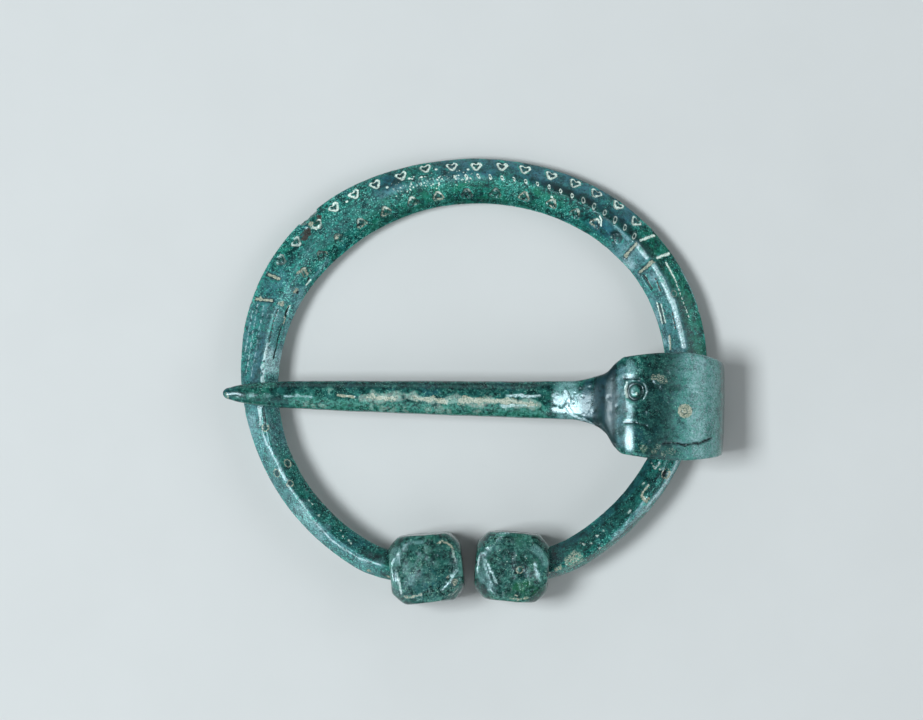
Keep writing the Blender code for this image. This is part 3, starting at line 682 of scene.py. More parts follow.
def smooth_values(stations, where, column=1):
    """A column's values between stations, along cubic pieces that never overshoot them."""
    places = np.array([row[0] for row in stations])
    values = np.array([row[column] for row in stations])
    rates = np.diff(values) / np.diff(places)
    before, after = rates[:-1], rates[1:]
    slopes = np.zeros(len(values))
    both = np.where(before * after > 0, before + after, 1)
    slopes[1:-1] = np.where(before * after > 0, 2 * before * after / both, 0)
    index = np.clip(np.searchsorted(places, where) - 1, 0, len(places) - 2)
    span = places[index + 1] - places[index]
    t = np.clip((where - places[index]) / span, 0, 1)
    bow = span * t * (1 - t) * (slopes[index] * (1 - t) - slopes[index + 1] * t)
    return values[index] + (values[index + 1] - values[index]) * t * t * (3 - 2 * t) + bow


def lumps(points, size, seed):
    """Smooth noise from -1 to 1 at points of space, with lumps of a size."""
    lattice = np.random.default_rng(seed).uniform(-1, 1, [NOISE_CELLS] * 3)
    places = points / size
    low = np.floor(places).astype(int)
    part = places - low
    weight = part * part * (3 - 2 * part)
    total = np.zeros(len(points))
    for corner in product((0, 1), repeat=3):
        index = (low + corner) % NOISE_CELLS
        share = np.prod(np.where(corner, weight, 1 - weight), axis=1)
        total += lattice[index[:, 0], index[:, 1], index[:, 2]] * share
    return total


def unit(vectors):
    """Vectors brought to length 1."""
    return vectors / np.linalg.norm(vectors, axis=-1, keepdims=True)


def middle_radius(angle_deg):
    """Distance of the hoop's middle line from its centre."""
    oval = HOOP_OVAL * np.cos(2 * np.radians(angle_deg - HOOP_OVAL_DEG))
    lobe = HOOP_LOBE * np.cos(3 * np.radians(angle_deg - HOOP_LOBE_DEG))
    to_end = np.minimum(LEFT_TERMINAL_DEG - angle_deg, angle_deg - RIGHT_TERMINAL_DEG)
    bend = np.maximum(0.0, 1 - to_end / TERMINAL_BEND_DEG)
    return HOOP_RADIUS + oval + lobe - TERMINAL_INSET * bend**2


def hoop_slope():
    """Rise of the middle line towards the terminals."""
    low_y = middle_radius(LEFT_TERMINAL_DEG) * math.sin(math.radians(LEFT_TERMINAL_DEG))
    rise = (TERMINAL_HEIGHT - ARCH_THICKNESS) / 2 + TERMINAL_DROP
    return rise / (middle_radius(90) - low_y)


def middle_height(place_y):
    """Height of the middle line."""
    return ARCH_THICKNESS / 2 + hoop_slope() * (middle_radius(90) - place_y)


def bar_points(angle_deg, spread, side):
    """Points of the bar's surface. Spread runs from -1 at the inner edge over 0 at the ridge to 1
    at the outer edge, and side is 1 on top and -1 underneath."""
    half_width = smooth_values(BAR_STATIONS, angle_deg) / 2
    half_thickness = smooth_values(BAR_STATIONS, angle_deg, column=2) / 2
    ridge = np.where(side > 0, smooth_values(BAR_STATIONS, angle_deg, column=3), 0.0)
    soft = np.where(side > 0, RIDGE_SOFTNESS, 0.0)
    blunt = (np.sqrt(spread**2 + soft**2) - soft) / (np.sqrt(1 + soft**2) - soft)
    power = np.where(side > 0, TOP_ROUNDNESS, UNDERSIDE_ROUNDNESS)
    rise = np.maximum(0.0, 1 - blunt**power) ** (1 / power)
    radius = middle_radius(angle_deg)
    reach = radius + (spread + ridge * (1 - np.abs(spread))) * half_width
    turn = np.radians(angle_deg)
    height = middle_height(radius * np.sin(turn)) + side * rise * half_thickness
    return np.stack(np.broadcast_arrays(reach * np.cos(turn), reach * np.sin(turn), height), axis=-1)


def share_to_spread(angle_deg, share):
    """Spread of a place on top of the bar that is given as a share of half the width."""
    ridge = smooth_values(BAR_STATIONS, angle_deg, column=3)
    return (share - ridge) / np.where(share > ridge, 1 - ridge, 1 + ridge)


def path_lengths(*axes):
    """Distance of each point of a path from the first one, along the path."""
    return np.concatenate(([0.0], np.cumsum(np.linalg.norm(np.diff(axes), axis=0))))


def even_spreads(power, half_width, half_thickness, count):
    """Spreads from 1 to -1 that stand evenly along a section's outline."""
    dense = np.cos(np.linspace(0, np.pi, DENSE_OUTLINE))
    height = np.maximum(0, 1 - np.abs(dense) ** power) ** (1 / power) * half_thickness
    length = path_lengths(dense * half_width, height)
    return np.interp(np.arange(count) / count * length[-1], length, dense)


def grid_faces(rings, count):
    """Quads between rings of points that close on themselves."""
    ring, place = np.meshgrid(np.arange(rings - 1), np.arange(count), indexing="ij")
    after = (place + 1) % count
    quads = (ring * count + place, ring * count + after)
    return np.stack((*quads, (ring + 1) * count + after, (ring + 1) * count + place), axis=-1).reshape(-1, 4)


def face_outwards(points, faces):
    """Whether quads face out of the body that they enclose."""
    corners = points[faces] - points.mean(axis=0)
    across = np.cross(corners[:, 2] - corners[:, 0], corners[:, 3] - corners[:, 1])
    return np.sum(corners.mean(axis=1) * across) > 0


class Skin:
    """Points and faces of a piece, with what is cut into it and what lies on it."""

    def __init__(self, points, faces, caps=()):
        """Caps are rings of point numbers that are closed by one face each."""
        self.points = points
        self.faces = faces if face_outwards(points, faces) else faces[:, ::-1]
        self.caps = [list(cap) for cap in caps]
        self.depth = np.zeros(len(points))
        self.masks = {name: np.zeros(len(points)) for name in MASKS}
        pairs = np.concatenate([faces[:, [a, (a + 1) % 4]] for a in range(4)])
        self.edges = np.unique(np.sort(pairs, axis=1), axis=0)
        self.refresh()

    def refresh(self):
        """Works out the normals and the search trees again."""
        self.normals = self.find_normals(self.points)
        self.tree = self.make_tree(np.arange(len(self.points)), flat=False)
        self.top_tree = self.make_tree(np.flatnonzero(self.normals[:, 2] > UPPER_SIDE), flat=True)

    def make_tree(self, numbers, flat):
        """A search tree of points, seen from above if flat."""
        tree = kdtree.KDTree(len(numbers))
        for number in numbers:
            x, y, z = self.points[number]
            tree.insert((x, y, 0.0 if flat else z), int(number))
        tree.balance()
        return tree

    def find_normals(self, points):
        """Outward directions at the points."""
        corners = points[self.faces]
        across = np.cross(corners[:, 2] - corners[:, 0], corners[:, 3] - corners[:, 1])
        total = np.zeros_like(points)
        for numbers in self.faces.T:
            np.add.at(total, numbers, across)
        return unit(total + 1e-15)

    def blurred(self, values, times):
        """Values averaged with those of the neighbours, a number of times."""
        first, second = self.edges.T
        known = np.bincount(self.edges.ravel(), minlength=len(values))
        for _ in range(times):
            near = np.zeros_like(values)
            np.add.at(near, first, values[second])
            np.add.at(near, second, values[first])
            values = (values + near / known[:, None]) / 2
        return values

    def find_on_top(self, pixel):
        """The place on the upper side that the photograph shows at a pixel."""
        x, y = pixel_place(pixel)
        near = [number for _, number, _ in self.top_tree.find_range((x, y, 0.0), LAYER_REACH)]
        near = near or [self.top_tree.find((x, y, 0.0))[1]]
        return max((self.points[number] for number in near), key=lambda point: point[2])

    def around(self, place, direction, reach):
        """Numbers of the points near a place, and their X and Y in its tangent plane, X along a
        direction."""
        found = np.array([number for _, number, _ in self.tree.find_range(Vector(place), reach)])
        if not len(found):
            return found, np.zeros(0), np.zeros(0)
        normal = self.normals[self.tree.find(Vector(place))[1]]
        found = found[self.normals[found] @ normal > SAME_SIDE]
        x_axis = unit(np.asarray(direction) - normal * np.dot(direction, normal))
        y_axis = np.cross(normal, x_axis)
        offsets = self.points[found] - place
        return found, offsets @ x_axis, offsets @ y_axis

    def cover(self, mask, numbers, amount):
        """Raises a mask to at least an amount."""
        self.masks[mask][numbers] = np.maximum(self.masks[mask][numbers], amount)

    def mark(self, numbers, share, depth, masks):
        """Sinks points and raises masks, by a share for each point. The mask of dirt and painted shade hides
        fill.
        """
        self.depth[numbers] += share * depth
        for fill in ("cream", "beige"):
            self.masks[fill][numbers] *= 1 - share * masks.get("soil", 0.0)
        for mask, amount in masks.items():
            self.cover(mask, numbers, share * amount)

    def finished(self):
        """The points with all that was cut into them, none of them below the ground."""
        points = self.points - self.normals * self.depth[:, None]
        points[:, 2] = np.maximum(points[:, 2], 0)
        return points


def pixel_place(pixel):
    """Place in the model's frame of a pixel of the photograph."""
    x = (pixel[0] - HOOP_CENTRE_PIXEL[0]) / PIXELS_PER_METRE + ORIGIN[0]
    y = (HOOP_CENTRE_PIXEL[1] - pixel[1]) / PIXELS_PER_METRE + ORIGIN[1]
    return x, y


def triangle_inset(x, y, size):
    """How far inside a triangle points are. One corner of it points along X."""
    inner_radius = size / math.sqrt(12)
    sides = [x * math.cos(turn) + y * math.sin(turn) for turn in np.radians((60, 180, 300))]
    return inner_radius - np.max(sides, axis=0)


def ragged(skin, numbers, size, amount, seed=RAGGED_SEED):
    """Factors near 1 that make an edge uneven."""
    return 1 + amount * lumps(skin.points[numbers], size, seed)


def press_stamp(skin, place, direction, rim, base, one_sided):
    """A triangular punch mark with three pellets. Pale fill is left along its edge: an amount
    round the corner that points along the direction, and an amount along the base, or only at its
    left end."""
    found, x, y = skin.around(place, direction, STAMP_REACH)
    inset = np.minimum(triangle_inset(x, y, STAMP_SIZE), STAMP_REACH - np.hypot(x, y))
    inset = inset * ragged(skin, found, *STAMP_UNEVEN)
    floor = smooth_step(inset, *STAMP_WALL)
    pellets = np.zeros(len(found))
    for along, across, radius in PELLETS:
        distance = np.hypot(x - along, y - across)
        pellets = np.maximum(pellets, 1 - smooth_step(distance / radius, *PELLET_BORDER))
    skin.mark(found, floor, STAMP_DEPTH, {})
    skin.mark(found, pellets * floor, -PELLET_HEIGHT, {})
    skin.cover("soil", found, floor * smooth_step(inset / STAMP_RIM, *SOIL_BORDER) * STAMP_SOIL)
    near_base = 1 - smooth_step(x, *STAMP_BASE)
    if one_sided:
        base = base * smooth_step(y, *STAMP_LEFT)
    else:
        rim = rim * smooth_step(x, *STAMP_POINT)
    amount = (rim * (1 - near_base) + base * near_base) * ragged(skin, found, *CREAM_WEAR)
    rim_width = STAMP_RIM * (1 + RIM_SWELL * smooth_step(x, 0.0, STAMP_POINT_REACH))
    edge = floor * (1 - smooth_step(inset / rim_width, *RIM_BORDER))
    skin.cover("cream", found, np.clip(edge * amount, 0, 1))
    if not one_sided:
        worn = ragged(skin, found, *BEIGE_WEAR)
        skin.cover("beige", found, np.clip(INNER_BEIGE * base * edge * worn, 0, 1))


def press_oval(skin, place, direction, length, width, cream):
    """A small oval punch mark with a pellet in it."""
    found, x, y = skin.around(place, direction, length)
    distance = np.hypot(2 * x / length, 2 * y / width) * ragged(skin, found, *OVAL_UNEVEN)
    skin.mark(found, 1 - smooth_step(distance, *OVAL_BORDER), OVAL_DEPTH, {"cream": cream})
    skin.mark(found, 1 - smooth_step(distance, *OVAL_PELLET_BORDER), -OVAL_PELLET_HEIGHT, {"soil": OVAL_SOIL})


def draw_line(skin, pixels, width, depth=0.0, uneven=0.4, **masks):
    """A cut, a crack or a streak along pixels of the upper side, and what shows in it."""
    for start, end in zip(pixels, pixels[1:]):
        first = skin.find_on_top(start)
        last = skin.find_on_top(end)
        length = np.linalg.norm(last - first)
        direction = (end[0] - start[0], start[1] - end[1], 0.0)
        found, x, y = skin.around((first + last) / 2, direction, length / 2 + width)
        off = np.hypot(np.maximum(np.abs(x) - length / 2, 0), y) * ragged(skin, found, width, uneven)
        skin.mark(found, 1 - smooth_step(off / width, *LINE_BORDER), depth, masks)


def draw_dashes(skin, pixels, width, depth, count, **masks):
    """A row of short cuts between two pixels."""
    places = np.linspace(*pixels, 2 * int(count))
    for ends in zip(places[::2], places[1::2]):
        draw_line(skin, ends, width, depth, **masks)


def draw_spot(skin, pixels, radius, depth=0.0, uneven=0.5, **masks):
    """A hollow, a knob or a patch round a pixel of the upper side."""
    found, x, y = skin.around(skin.find_on_top(pixels[0]), (1, 0, 0), SPOT_REACH * radius)
    distance = np.hypot(x, y) * ragged(skin, found, SPOT_LUMPS * radius, uneven)
    skin.mark(found, 1 - smooth_step(distance / radius, *SPOT_BORDER), depth, masks)


def draw_ring(skin, pixels, radius, line, depth=0.0, **masks):
    """A ring round a pixel of the upper side."""
    found, x, y = skin.around(skin.find_on_top(pixels[0]), (1, 0, 0), radius + line)
    off = np.abs(np.hypot(x, y) - radius) * ragged(skin, found, *RING_UNEVEN)
    skin.mark(found, 1 - smooth_step(off / line, *LINE_BORDER), depth, masks)


def draw_grain(skin, pixels, radius, cream):
    """A tiny pale knob at a pixel of the upper side."""
    drop_grain(skin, skin.find_on_top(pixels[0]), radius, cream)


def draw_marks(skin, table):
    """Lays the marks of a table in their order."""
    draw = {
        "line": draw_line,
        "dashes": draw_dashes,
        "spot": draw_spot,
        "ring": draw_ring,
        "grain": draw_grain,
    }
    for row in table.strip().replace("\n:", " :").splitlines():
        head, *strokes = row.split(":")
        kind, places = head.split(maxsplit=1)
        for place in places.split("/" if kind in ("line", "dashes") else None):
            pixels = [tuple(map(float, pixel.split(","))) for pixel in place.split()]
            for stroke in strokes:
                words = [word.split("=") for word in stroke.split()]
                sizes = [float(word[0]) * HUNDREDTH for word in words if len(word) == 1]
                shares = {word[0]: float(word[1]) for word in words if len(word) == 2}
                draw[kind](skin, pixels, *sizes, **shares)


def add_pits(skin, count, size, depth, seed):
    """Corrosion pits, spread over the whole skin."""
    chooser = np.random.default_rng(seed)
    for number in chooser.integers(0, len(skin.points), count):
        radius = size * chooser.uniform(*PIT_SIZES)
        found, x, y = skin.around(skin.points[number], ANY_DIRECTION, radius)
        bowl = 1 - smooth_step(np.hypot(x, y), 0, radius)
        soil = chooser.uniform(*PIT_SOIL)
        skin.mark(found, bowl, depth * radius / size, {"soil": soil})


def add_unevenness(skin, size, height, seed):
    """Soft unevenness of a hand-made surface, with a finer one on it."""
    skin.depth += height * lumps(skin.points, size, seed)
    skin.depth += FINER_HEIGHT * height * lumps(skin.points, FINER_SIZE * size, seed + 1)


def mark_wear(skin, reach):
    """Finds worn edges and sheltered hollows from how the finished surface bends."""
    finished = skin.finished()
    bend = np.sum((finished - skin.blurred(finished, WEAR_BLURS)) * skin.normals, axis=1)
    patchy = smooth_step(lumps(skin.points, *WEAR_LUMPS), *WEAR_PATCHES)
    skin.cover("pale", slice(None), patchy * smooth_step(bend / reach, *RUBBED_BEND))
    skin.cover("soil", slice(None), HOLLOW_SOIL * smooth_step(-bend / reach, *HOLLOW_BEND))


def tube_skin(points):
    """The skin of a tube, from its rings of points, with both ends closed."""
    rings, count = points.shape[:2]
    caps = (range(count), range((rings - 1) * count, rings * count)[::-1])
    return Skin(points.reshape(-1, 3), grid_faces(rings, count), caps)


def read_rows(table):
    """Rows of a table of words and numbers."""
    rows = [row.split() for row in table.strip().splitlines()]
    return [[word if word.isalpha() else float(word) for word in row] for row in rows]


def make_bar_skin():
    """The bar of the hoop."""
    right = np.arange(RIGHT_TERMINAL_DEG, ARCH_FROM_DEG, ARM_STEP_DEG)
    arch = np.arange(ARCH_FROM_DEG, ARCH_TO_DEG, ARCH_STEP_DEG)
    left = np.arange(ARCH_TO_DEG, LEFT_TERMINAL_DEG, ARM_STEP_DEG)
    angles = np.concatenate((right, arch, left))[:, None]
    half_width, half_thickness = ARCH_WIDTH / 2, ARCH_THICKNESS / 2
    top = even_spreads(TOP_ROUNDNESS, half_width, half_thickness, BAR_TOP_POINTS)
    under = -even_spreads(UNDERSIDE_ROUNDNESS, half_width, half_thickness, BAR_UNDER_POINTS)
    spread = np.concatenate((top, under))[None, :]
    side = np.repeat((1, -1), (BAR_TOP_POINTS, BAR_UNDER_POINTS))[None, :]
    skin = tube_skin(bar_points(angles, spread, side) + ORIGIN)
    ridge = smooth_values(BAR_STATIONS, angles, column=3)
    share = spread + ridge * (1 - np.abs(spread))
    paint_tones(skin, *(values.ravel() for values in np.broadcast_arrays(angles, share, side > 0)))
    return skin


def soft_window(values, low, high, soft):
    """1 between two values and 0 outside them, with soft borders."""
    return smooth_step(values, low - soft, low + soft) * (1 - smooth_step(values, high - soft, high + soft))


def paint_tones(skin, angle_deg, share, on_top):
    """Lays the broad tones of the patina on the bar's upper side."""
    patchy = TONE_LEVEL + TONE_CHANGE * lumps(skin.points, *TONE_LUMPS)
    for mask, from_deg, to_deg, from_share, to_share, amount in read_rows(BAR_TONES):
        along = soft_window(angle_deg, from_deg, to_deg, TONE_SOFT_DEG)
        across = soft_window(share, from_share, to_share, TONE_SOFT_SHARE)
        skin.cover(mask, slice(None), np.clip(amount * along * across * on_top * patchy, 0, 1))


def place_on_bar(angle_deg, share):
    """A place on top of the bar, and the direction away from the hoop's centre."""
    turn = math.radians(angle_deg)
    place = bar_points(angle_deg, share_to_spread(angle_deg, share), np.array(1)) + ORIGIN
    return place, np.array((math.cos(turn), math.sin(turn), 0.0))


def decorate_bar(skin):
    """Presses the rows of marks into the arch."""
    for stamps, facing, base in ((OUTER_STAMPS, -1, OUTER_BASE_FILL), (INNER_STAMPS, 1, INNER_BASE_FILL)):
        for angle_deg, share, cream in read_rows(stamps):
            place, outwards = place_on_bar(angle_deg, share)
            press_stamp(skin, place, facing * outwards, cream, base * cream, facing < 0)
    for angle_deg in np.linspace(*RIDGE_DOTS_DEG, RIDGE_DOTS):
        place, (x, y, _) = place_on_bar(angle_deg, RIDGE_DOTS_SHARE)
        slanted = np.array((x - RIDGE_DOTS_SLANT * y, y + RIDGE_DOTS_SLANT * x, 0.0))
        press_oval(skin, place, slanted, *(RIDGE_RING if angle_deg < RIDGE_RINGS_TO_DEG else RIDGE_PELLET))
    chooser = np.random.default_rng(WHITE_GRAINS_SEED)
    for _ in range(WHITE_GRAINS):
        place, _ = place_on_bar(chooser.uniform(*WHITE_GRAINS_DEG), chooser.normal(*WHITE_GRAINS_SHARE))
        drop_grain(skin, place, chooser.uniform(*WHITE_GRAIN_RADII), chooser.uniform(*WHITE_GRAIN_FILLS))


def drop_grain(skin, place, radius, cream):
    """A tiny pale knob."""
    found, x, y = skin.around(place, (1, 0, 0), 2 * radius)
    bump = 1 - smooth_step(np.hypot(x, y) / radius, *GRAIN_BORDER)
    skin.mark(found, bump, -GRAIN_HEIGHT, {"cream": cream})


def break_chip(skin):
    """Takes the chip out of the hoop's outer edge."""
    half_width = smooth_values(BAR_STATIONS, np.array(CHIP_DEG)) / 2
    radius = middle_radius(CHIP_DEG) + half_width
    turn = math.radians(CHIP_DEG)
    outwards = np.array((math.cos(turn), math.sin(turn), 0.0))
    height = middle_height(middle_radius(CHIP_DEG) * math.sin(turn)) + CHIP_HEIGHT / 4
    offsets = skin.points - (radius * outwards + (0, 0, height) + ORIGIN)
    out = offsets @ outwards
    along = offsets @ (-outwards[1], outwards[0], 0.0) * ragged(skin, slice(None), *CHIP_OUTLINE)
    left = 1 - (2 * along / CHIP_LENGTH) ** 2 - (2 * offsets[:, 2] / CHIP_HEIGHT) ** 2
    floor = -CHIP_DEPTH * np.sqrt(np.maximum(left, 0)) * ragged(skin, slice(None), *CHIP_FLOOR)
    sunk = (left > 0) & (out > floor)
    skin.points[sunk] += (floor - out)[sunk, None] * outwards
    skin.refresh()


def terminal_reach(directions):
    """Distance of a terminal's surface from its middle, in its own axes: the cube, its cut corners
    and its blunted upright edges, with worn transitions."""
    half = np.array((TERMINAL_LENGTH, TERMINAL_WIDTH, TERMINAL_HEIGHT)) / 2
    cuts = {1: 0.0, 2: TERMINAL_EDGE_CUT, 3: TERMINAL_CORNER_CUT}
    total = np.zeros(len(directions))
    for signs in product((-1, 0, 1), repeat=3):
        sides = np.count_nonzero(signs)
        if sides == 0 or (sides == 2 and signs[2]):
            continue
        normal = np.array(signs) / math.sqrt(sides)
        distance = np.abs(normal) @ half - cuts[sides] / math.sqrt(sides)
        total += (np.maximum(0, directions @ normal) / distance) ** TERMINAL_SHARPNESS
    return total ** (-1 / TERMINAL_SHARPNESS)


def make_terminal_skin(angle_deg):
    """One terminal, as a cube's grid drawn onto its form."""
    size = TERMINAL_POINTS + 1
    steps = np.tan(np.linspace(-np.pi / 4, np.pi / 4, size))
    across, along = np.meshgrid(steps, steps, indexing="ij")
    numbers = np.arange(size * size).reshape(size, size)
    corners = (numbers[:-1, :-1], numbers[1:, :-1], numbers[1:, 1:], numbers[:-1, 1:])
    quads = np.stack(corners, axis=-1).reshape(-1, 4)
    found, faces = [], []
    for turn, sign in product(range(3), (1, -1)):
        face = np.stack((np.full_like(across, sign), sign * across, along), axis=-1).reshape(-1, 3)
        faces.append(quads + len(found) * size * size)
        found.append(np.roll(face, turn, axis=1))
    directions = np.concatenate(found)
    keys = np.round(directions * DIRECTION_ROUNDING).astype(int)
    _, kept, names = np.unique(keys, axis=0, return_index=True, return_inverse=True)
    directions = unit(directions[kept])
    points = directions * terminal_reach(directions)[:, None]
    return Skin(to_terminal_place(points, angle_deg), names.reshape(-1)[np.concatenate(faces)])


def to_terminal_place(points, angle_deg):
    """Points of a terminal's own axes, moved to the hoop's end."""
    angles = np.array((angle_deg - NEIGHBOUR_STEP_DEG, angle_deg, angle_deg + NEIGHBOUR_STEP_DEG))
    before, middle, after = (
        middle_radius(angles) * (np.cos(np.radians(angles)), np.sin(np.radians(angles)))
    ).T
    tangent = unit(after - before)
    x = points[:, 0] * tangent[0] - points[:, 1] * tangent[1] + middle[0]
    y = points[:, 0] * tangent[1] + points[:, 1] * tangent[0] + middle[1]
    return np.stack((x, y, points[:, 2] + TERMINAL_HEIGHT / 2), axis=-1) + ORIGIN


def pin_pivot_frame():
    """Frame of the pin: origin on the loop's axis, Y along that axis, -X towards the tip."""
    turn = Matrix.Rotation(math.radians(PIN_TURN_DEG), 4, "Z")
    frame = turn @ Matrix.Rotation(-math.atan(hoop_slope()), 4, "X")
    radius = middle_radius(PIN_SEAT_DEG) - PIN_SEAT_INSET
    angle = math.radians(PIN_SEAT_DEG)
    x, y = radius * math.cos(angle), radius * math.sin(angle)
    frame.translation = (x, y, middle_height(y) + PIN_SEAT_RISE)
    return frame


def bar_in_pin_frame(from_deg, to_deg):
    """Points of the bar between two angles, in the pin's frame."""
    angles = np.arange(from_deg, to_deg, PROBE_STEP_DEG)[:, None]
    spread = np.linspace(-1, 1, PROBE_POINTS)[None, :]
    places = np.concatenate([bar_points(angles, spread, np.array(side)).reshape(-1, 3) for side in (1, -1)])
    to_pin = np.array(pin_pivot_frame().inverted())
    return places @ to_pin[:3, :3].T + to_pin[:3, 3]


def loop_bore_radius():
    """Radius of the loop's inside, which turns clear of the bar that runs through it."""
    places = bar_in_pin_frame(PIN_SEAT_DEG - LOOP_PROBE_DEG, PIN_SEAT_DEG + LOOP_PROBE_DEG)
    inside = np.abs(places[:, 1] - SHEET_OFFSET) < (LOOP_WIDTH + FLANK_WIDTH) / 4
    return np.hypot(places[inside, 0], places[inside, 2]).max() + LOOP_CLEARANCE


def crossing_place():
    """Where the shaft crosses the bar, in the pin's frame, and how high its underside clears it."""
    places = bar_in_pin_frame(*CROSSING_PROBE_DEG)
    places = places[np.abs(places[:, 1]) < SHAFT_START_WIDTH / 2]
    highest = places[np.argmax(places[:, 2])]
    return highest[0], highest[2] + PIN_REST_GAP


def fillet(before, corner, after, radius):
    """Arc that rounds a corner between two straight runs."""
    to_before = (before - corner).normalized()
    to_after = (after - corner).normalized()
    half_angle = to_before.angle(to_after) / 2
    centre = corner + (to_before + to_after).normalized() * (radius / math.sin(half_angle))
    start = corner + to_before * (radius / math.tan(half_angle)) - centre
    end = corner + to_after * (radius / math.tan(half_angle)) - centre
    turn = start.angle(end)
    arc = []
    for share in np.linspace(0, 1, FILLET_POINTS):
        mixed = start * math.sin((1 - share) * turn) + end * math.sin(share * turn)
        arc.append(centre + mixed / math.sin(turn))
    return arc


def point_down_slope(start, low, slope_deg):
    """The point at a lower height that a slope towards the tip reaches from a start."""
    return Vector((start.x - (start.y - low) / math.tan(math.radians(slope_deg)), low))


def pin_path(bore):
    """Middle line of the pin in its X-Z plane, from the tip along the shaft, gently up the neck,
    steeply up the flare to the shoulder and round the loop."""
    middle = bore + SHEET_WALL / 2
    slope = math.radians(SHOULDER_SLOPE_DEG)
    touch = Vector((-middle * math.sin(slope), middle * math.cos(slope)))
    shoulder = Vector((-SHOULDER_REACH, touch.y + (-SHOULDER_REACH - touch.x) * math.tan(slope)))
    dip = point_down_slope(shoulder, middle - DIP_DROP, FLARE_SLOPE_DEG)
    neck_z = middle - NECK_DROP
    neck = point_down_slope(dip, neck_z, NECK_SLOPE_DEG)
    crossing_x, crossing_z = crossing_place()
    shaft_z = crossing_z + SHAFT_START_WIDTH * SHAFT_FLATNESS / 2
    rise = (neck_z - shaft_z) / (neck.x - crossing_x)
    tip = Vector((-PIN_LENGTH, neck_z + rise * (-PIN_LENGTH - neck.x)))
    points = [tip] + fillet(tip, neck, dip, NECK_FILLET)
    points += fillet(neck, dip, shoulder, DIP_FILLET) + fillet(dip, shoulder, touch, SHOULDER_FILLET)
    outer = middle + SHEET_WALL / 2
    top_deg = 90 + SHOULDER_SLOPE_DEG
    seam_deg = top_deg + math.degrees(math.acos((bore - SEAM_GAP) / outer)) - 360
    for angle in np.radians(np.arange(top_deg, seam_deg, -ROLL_STEP_DEG)):
        points.append(Vector((middle * math.cos(angle), middle * math.sin(angle))))
    return np.array(points)


def pin_tables(points, lengths, bore):
    """Width, thickness, roundness and sideways offset of the pin along its path, and the places of
    the flare's middle and the loop's top."""
    top = np.argmax(points[:, 1])
    quarter = math.pi / 2 * (bore + SHEET_WALL / 2)
    places = {
        "tip": 0.0,
        "flare": np.interp(-FLARE_REACH, points[:top, 0], lengths[:top]),
        "top": lengths[top],
        "flank": lengths[top] + quarter,
        "end": lengths[-1],
    }
    rows = [(places[name] + along, *section) for name, along, *section in PIN_STATIONS]
    return rows, places["flare"], places["top"]


def squared_ellipse(width, thickness, roundness):
    """Outline of a section with points evenly along its upper and along its under side."""
    outline = []
    for count, side in ((PIN_UPPER_POINTS, 1), (PIN_UNDER_POINTS, -1)):
        turn = np.linspace(0, np.pi, DENSE_SECTION)
        across = side * np.sign(np.cos(turn)) * np.abs(np.cos(turn)) ** (2 / roundness) * width / 2
        up = side * np.sin(turn) ** (2 / roundness) * thickness / 2
        length = path_lengths(across, up)
        places = np.arange(count) / count * length[-1]
        outline.append(np.stack((np.interp(places, length, across), np.interp(places, length, up))))
    return np.concatenate(outline, axis=1)


def make_pin_skin():
    """The pin, from its broken tip to the end of its rolled sheet."""
    bore = loop_bore_radius()
    path = pin_path(bore)
    lengths = path_lengths(*path.T)
    table, flare_at, top_at = pin_tables(path, lengths, bore)
    head_from = flare_at - HEAD_FROM * NECK_LENGTH
    head_to = top_at + HEAD_TO * (bore + SHEET_WALL)
    shaft = np.arange(0, head_from, SHAFT_STEP)
    head = np.arange(head_from, head_to, HEAD_STEP)
    along = np.concatenate((shaft, head, np.arange(head_to, lengths[-1], ROLL_STEP)))
    places = np.stack([np.interp(along, lengths, path[:, axis]) for axis in (0, 1)], axis=-1)
    direction = unit(np.gradient(places, axis=0))
    width, thickness, roundness, offset = (smooth_values(table, along, column) for column in (1, 2, 3, 4))
    blunt = np.sqrt(1 - (1 - np.clip(along / NOSE_ROUNDING, NOSE_BLUNTNESS, 1)) ** 2)
    width, thickness = width * blunt, thickness * blunt
    rings = []
    for index, (x, z) in enumerate(places):
        across, up = squared_ellipse(width[index], thickness[index], roundness[index])
        x_normal, z_normal = -direction[index, 1], direction[index, 0]
        rings.append(np.stack((x + up * x_normal, offset[index] + across, z + up * z_normal), axis=-1))
    frame = np.array(pin_pivot_frame())
    return tube_skin(np.array(rings) @ frame[:3, :3].T + frame[:3, 3] + ORIGIN)


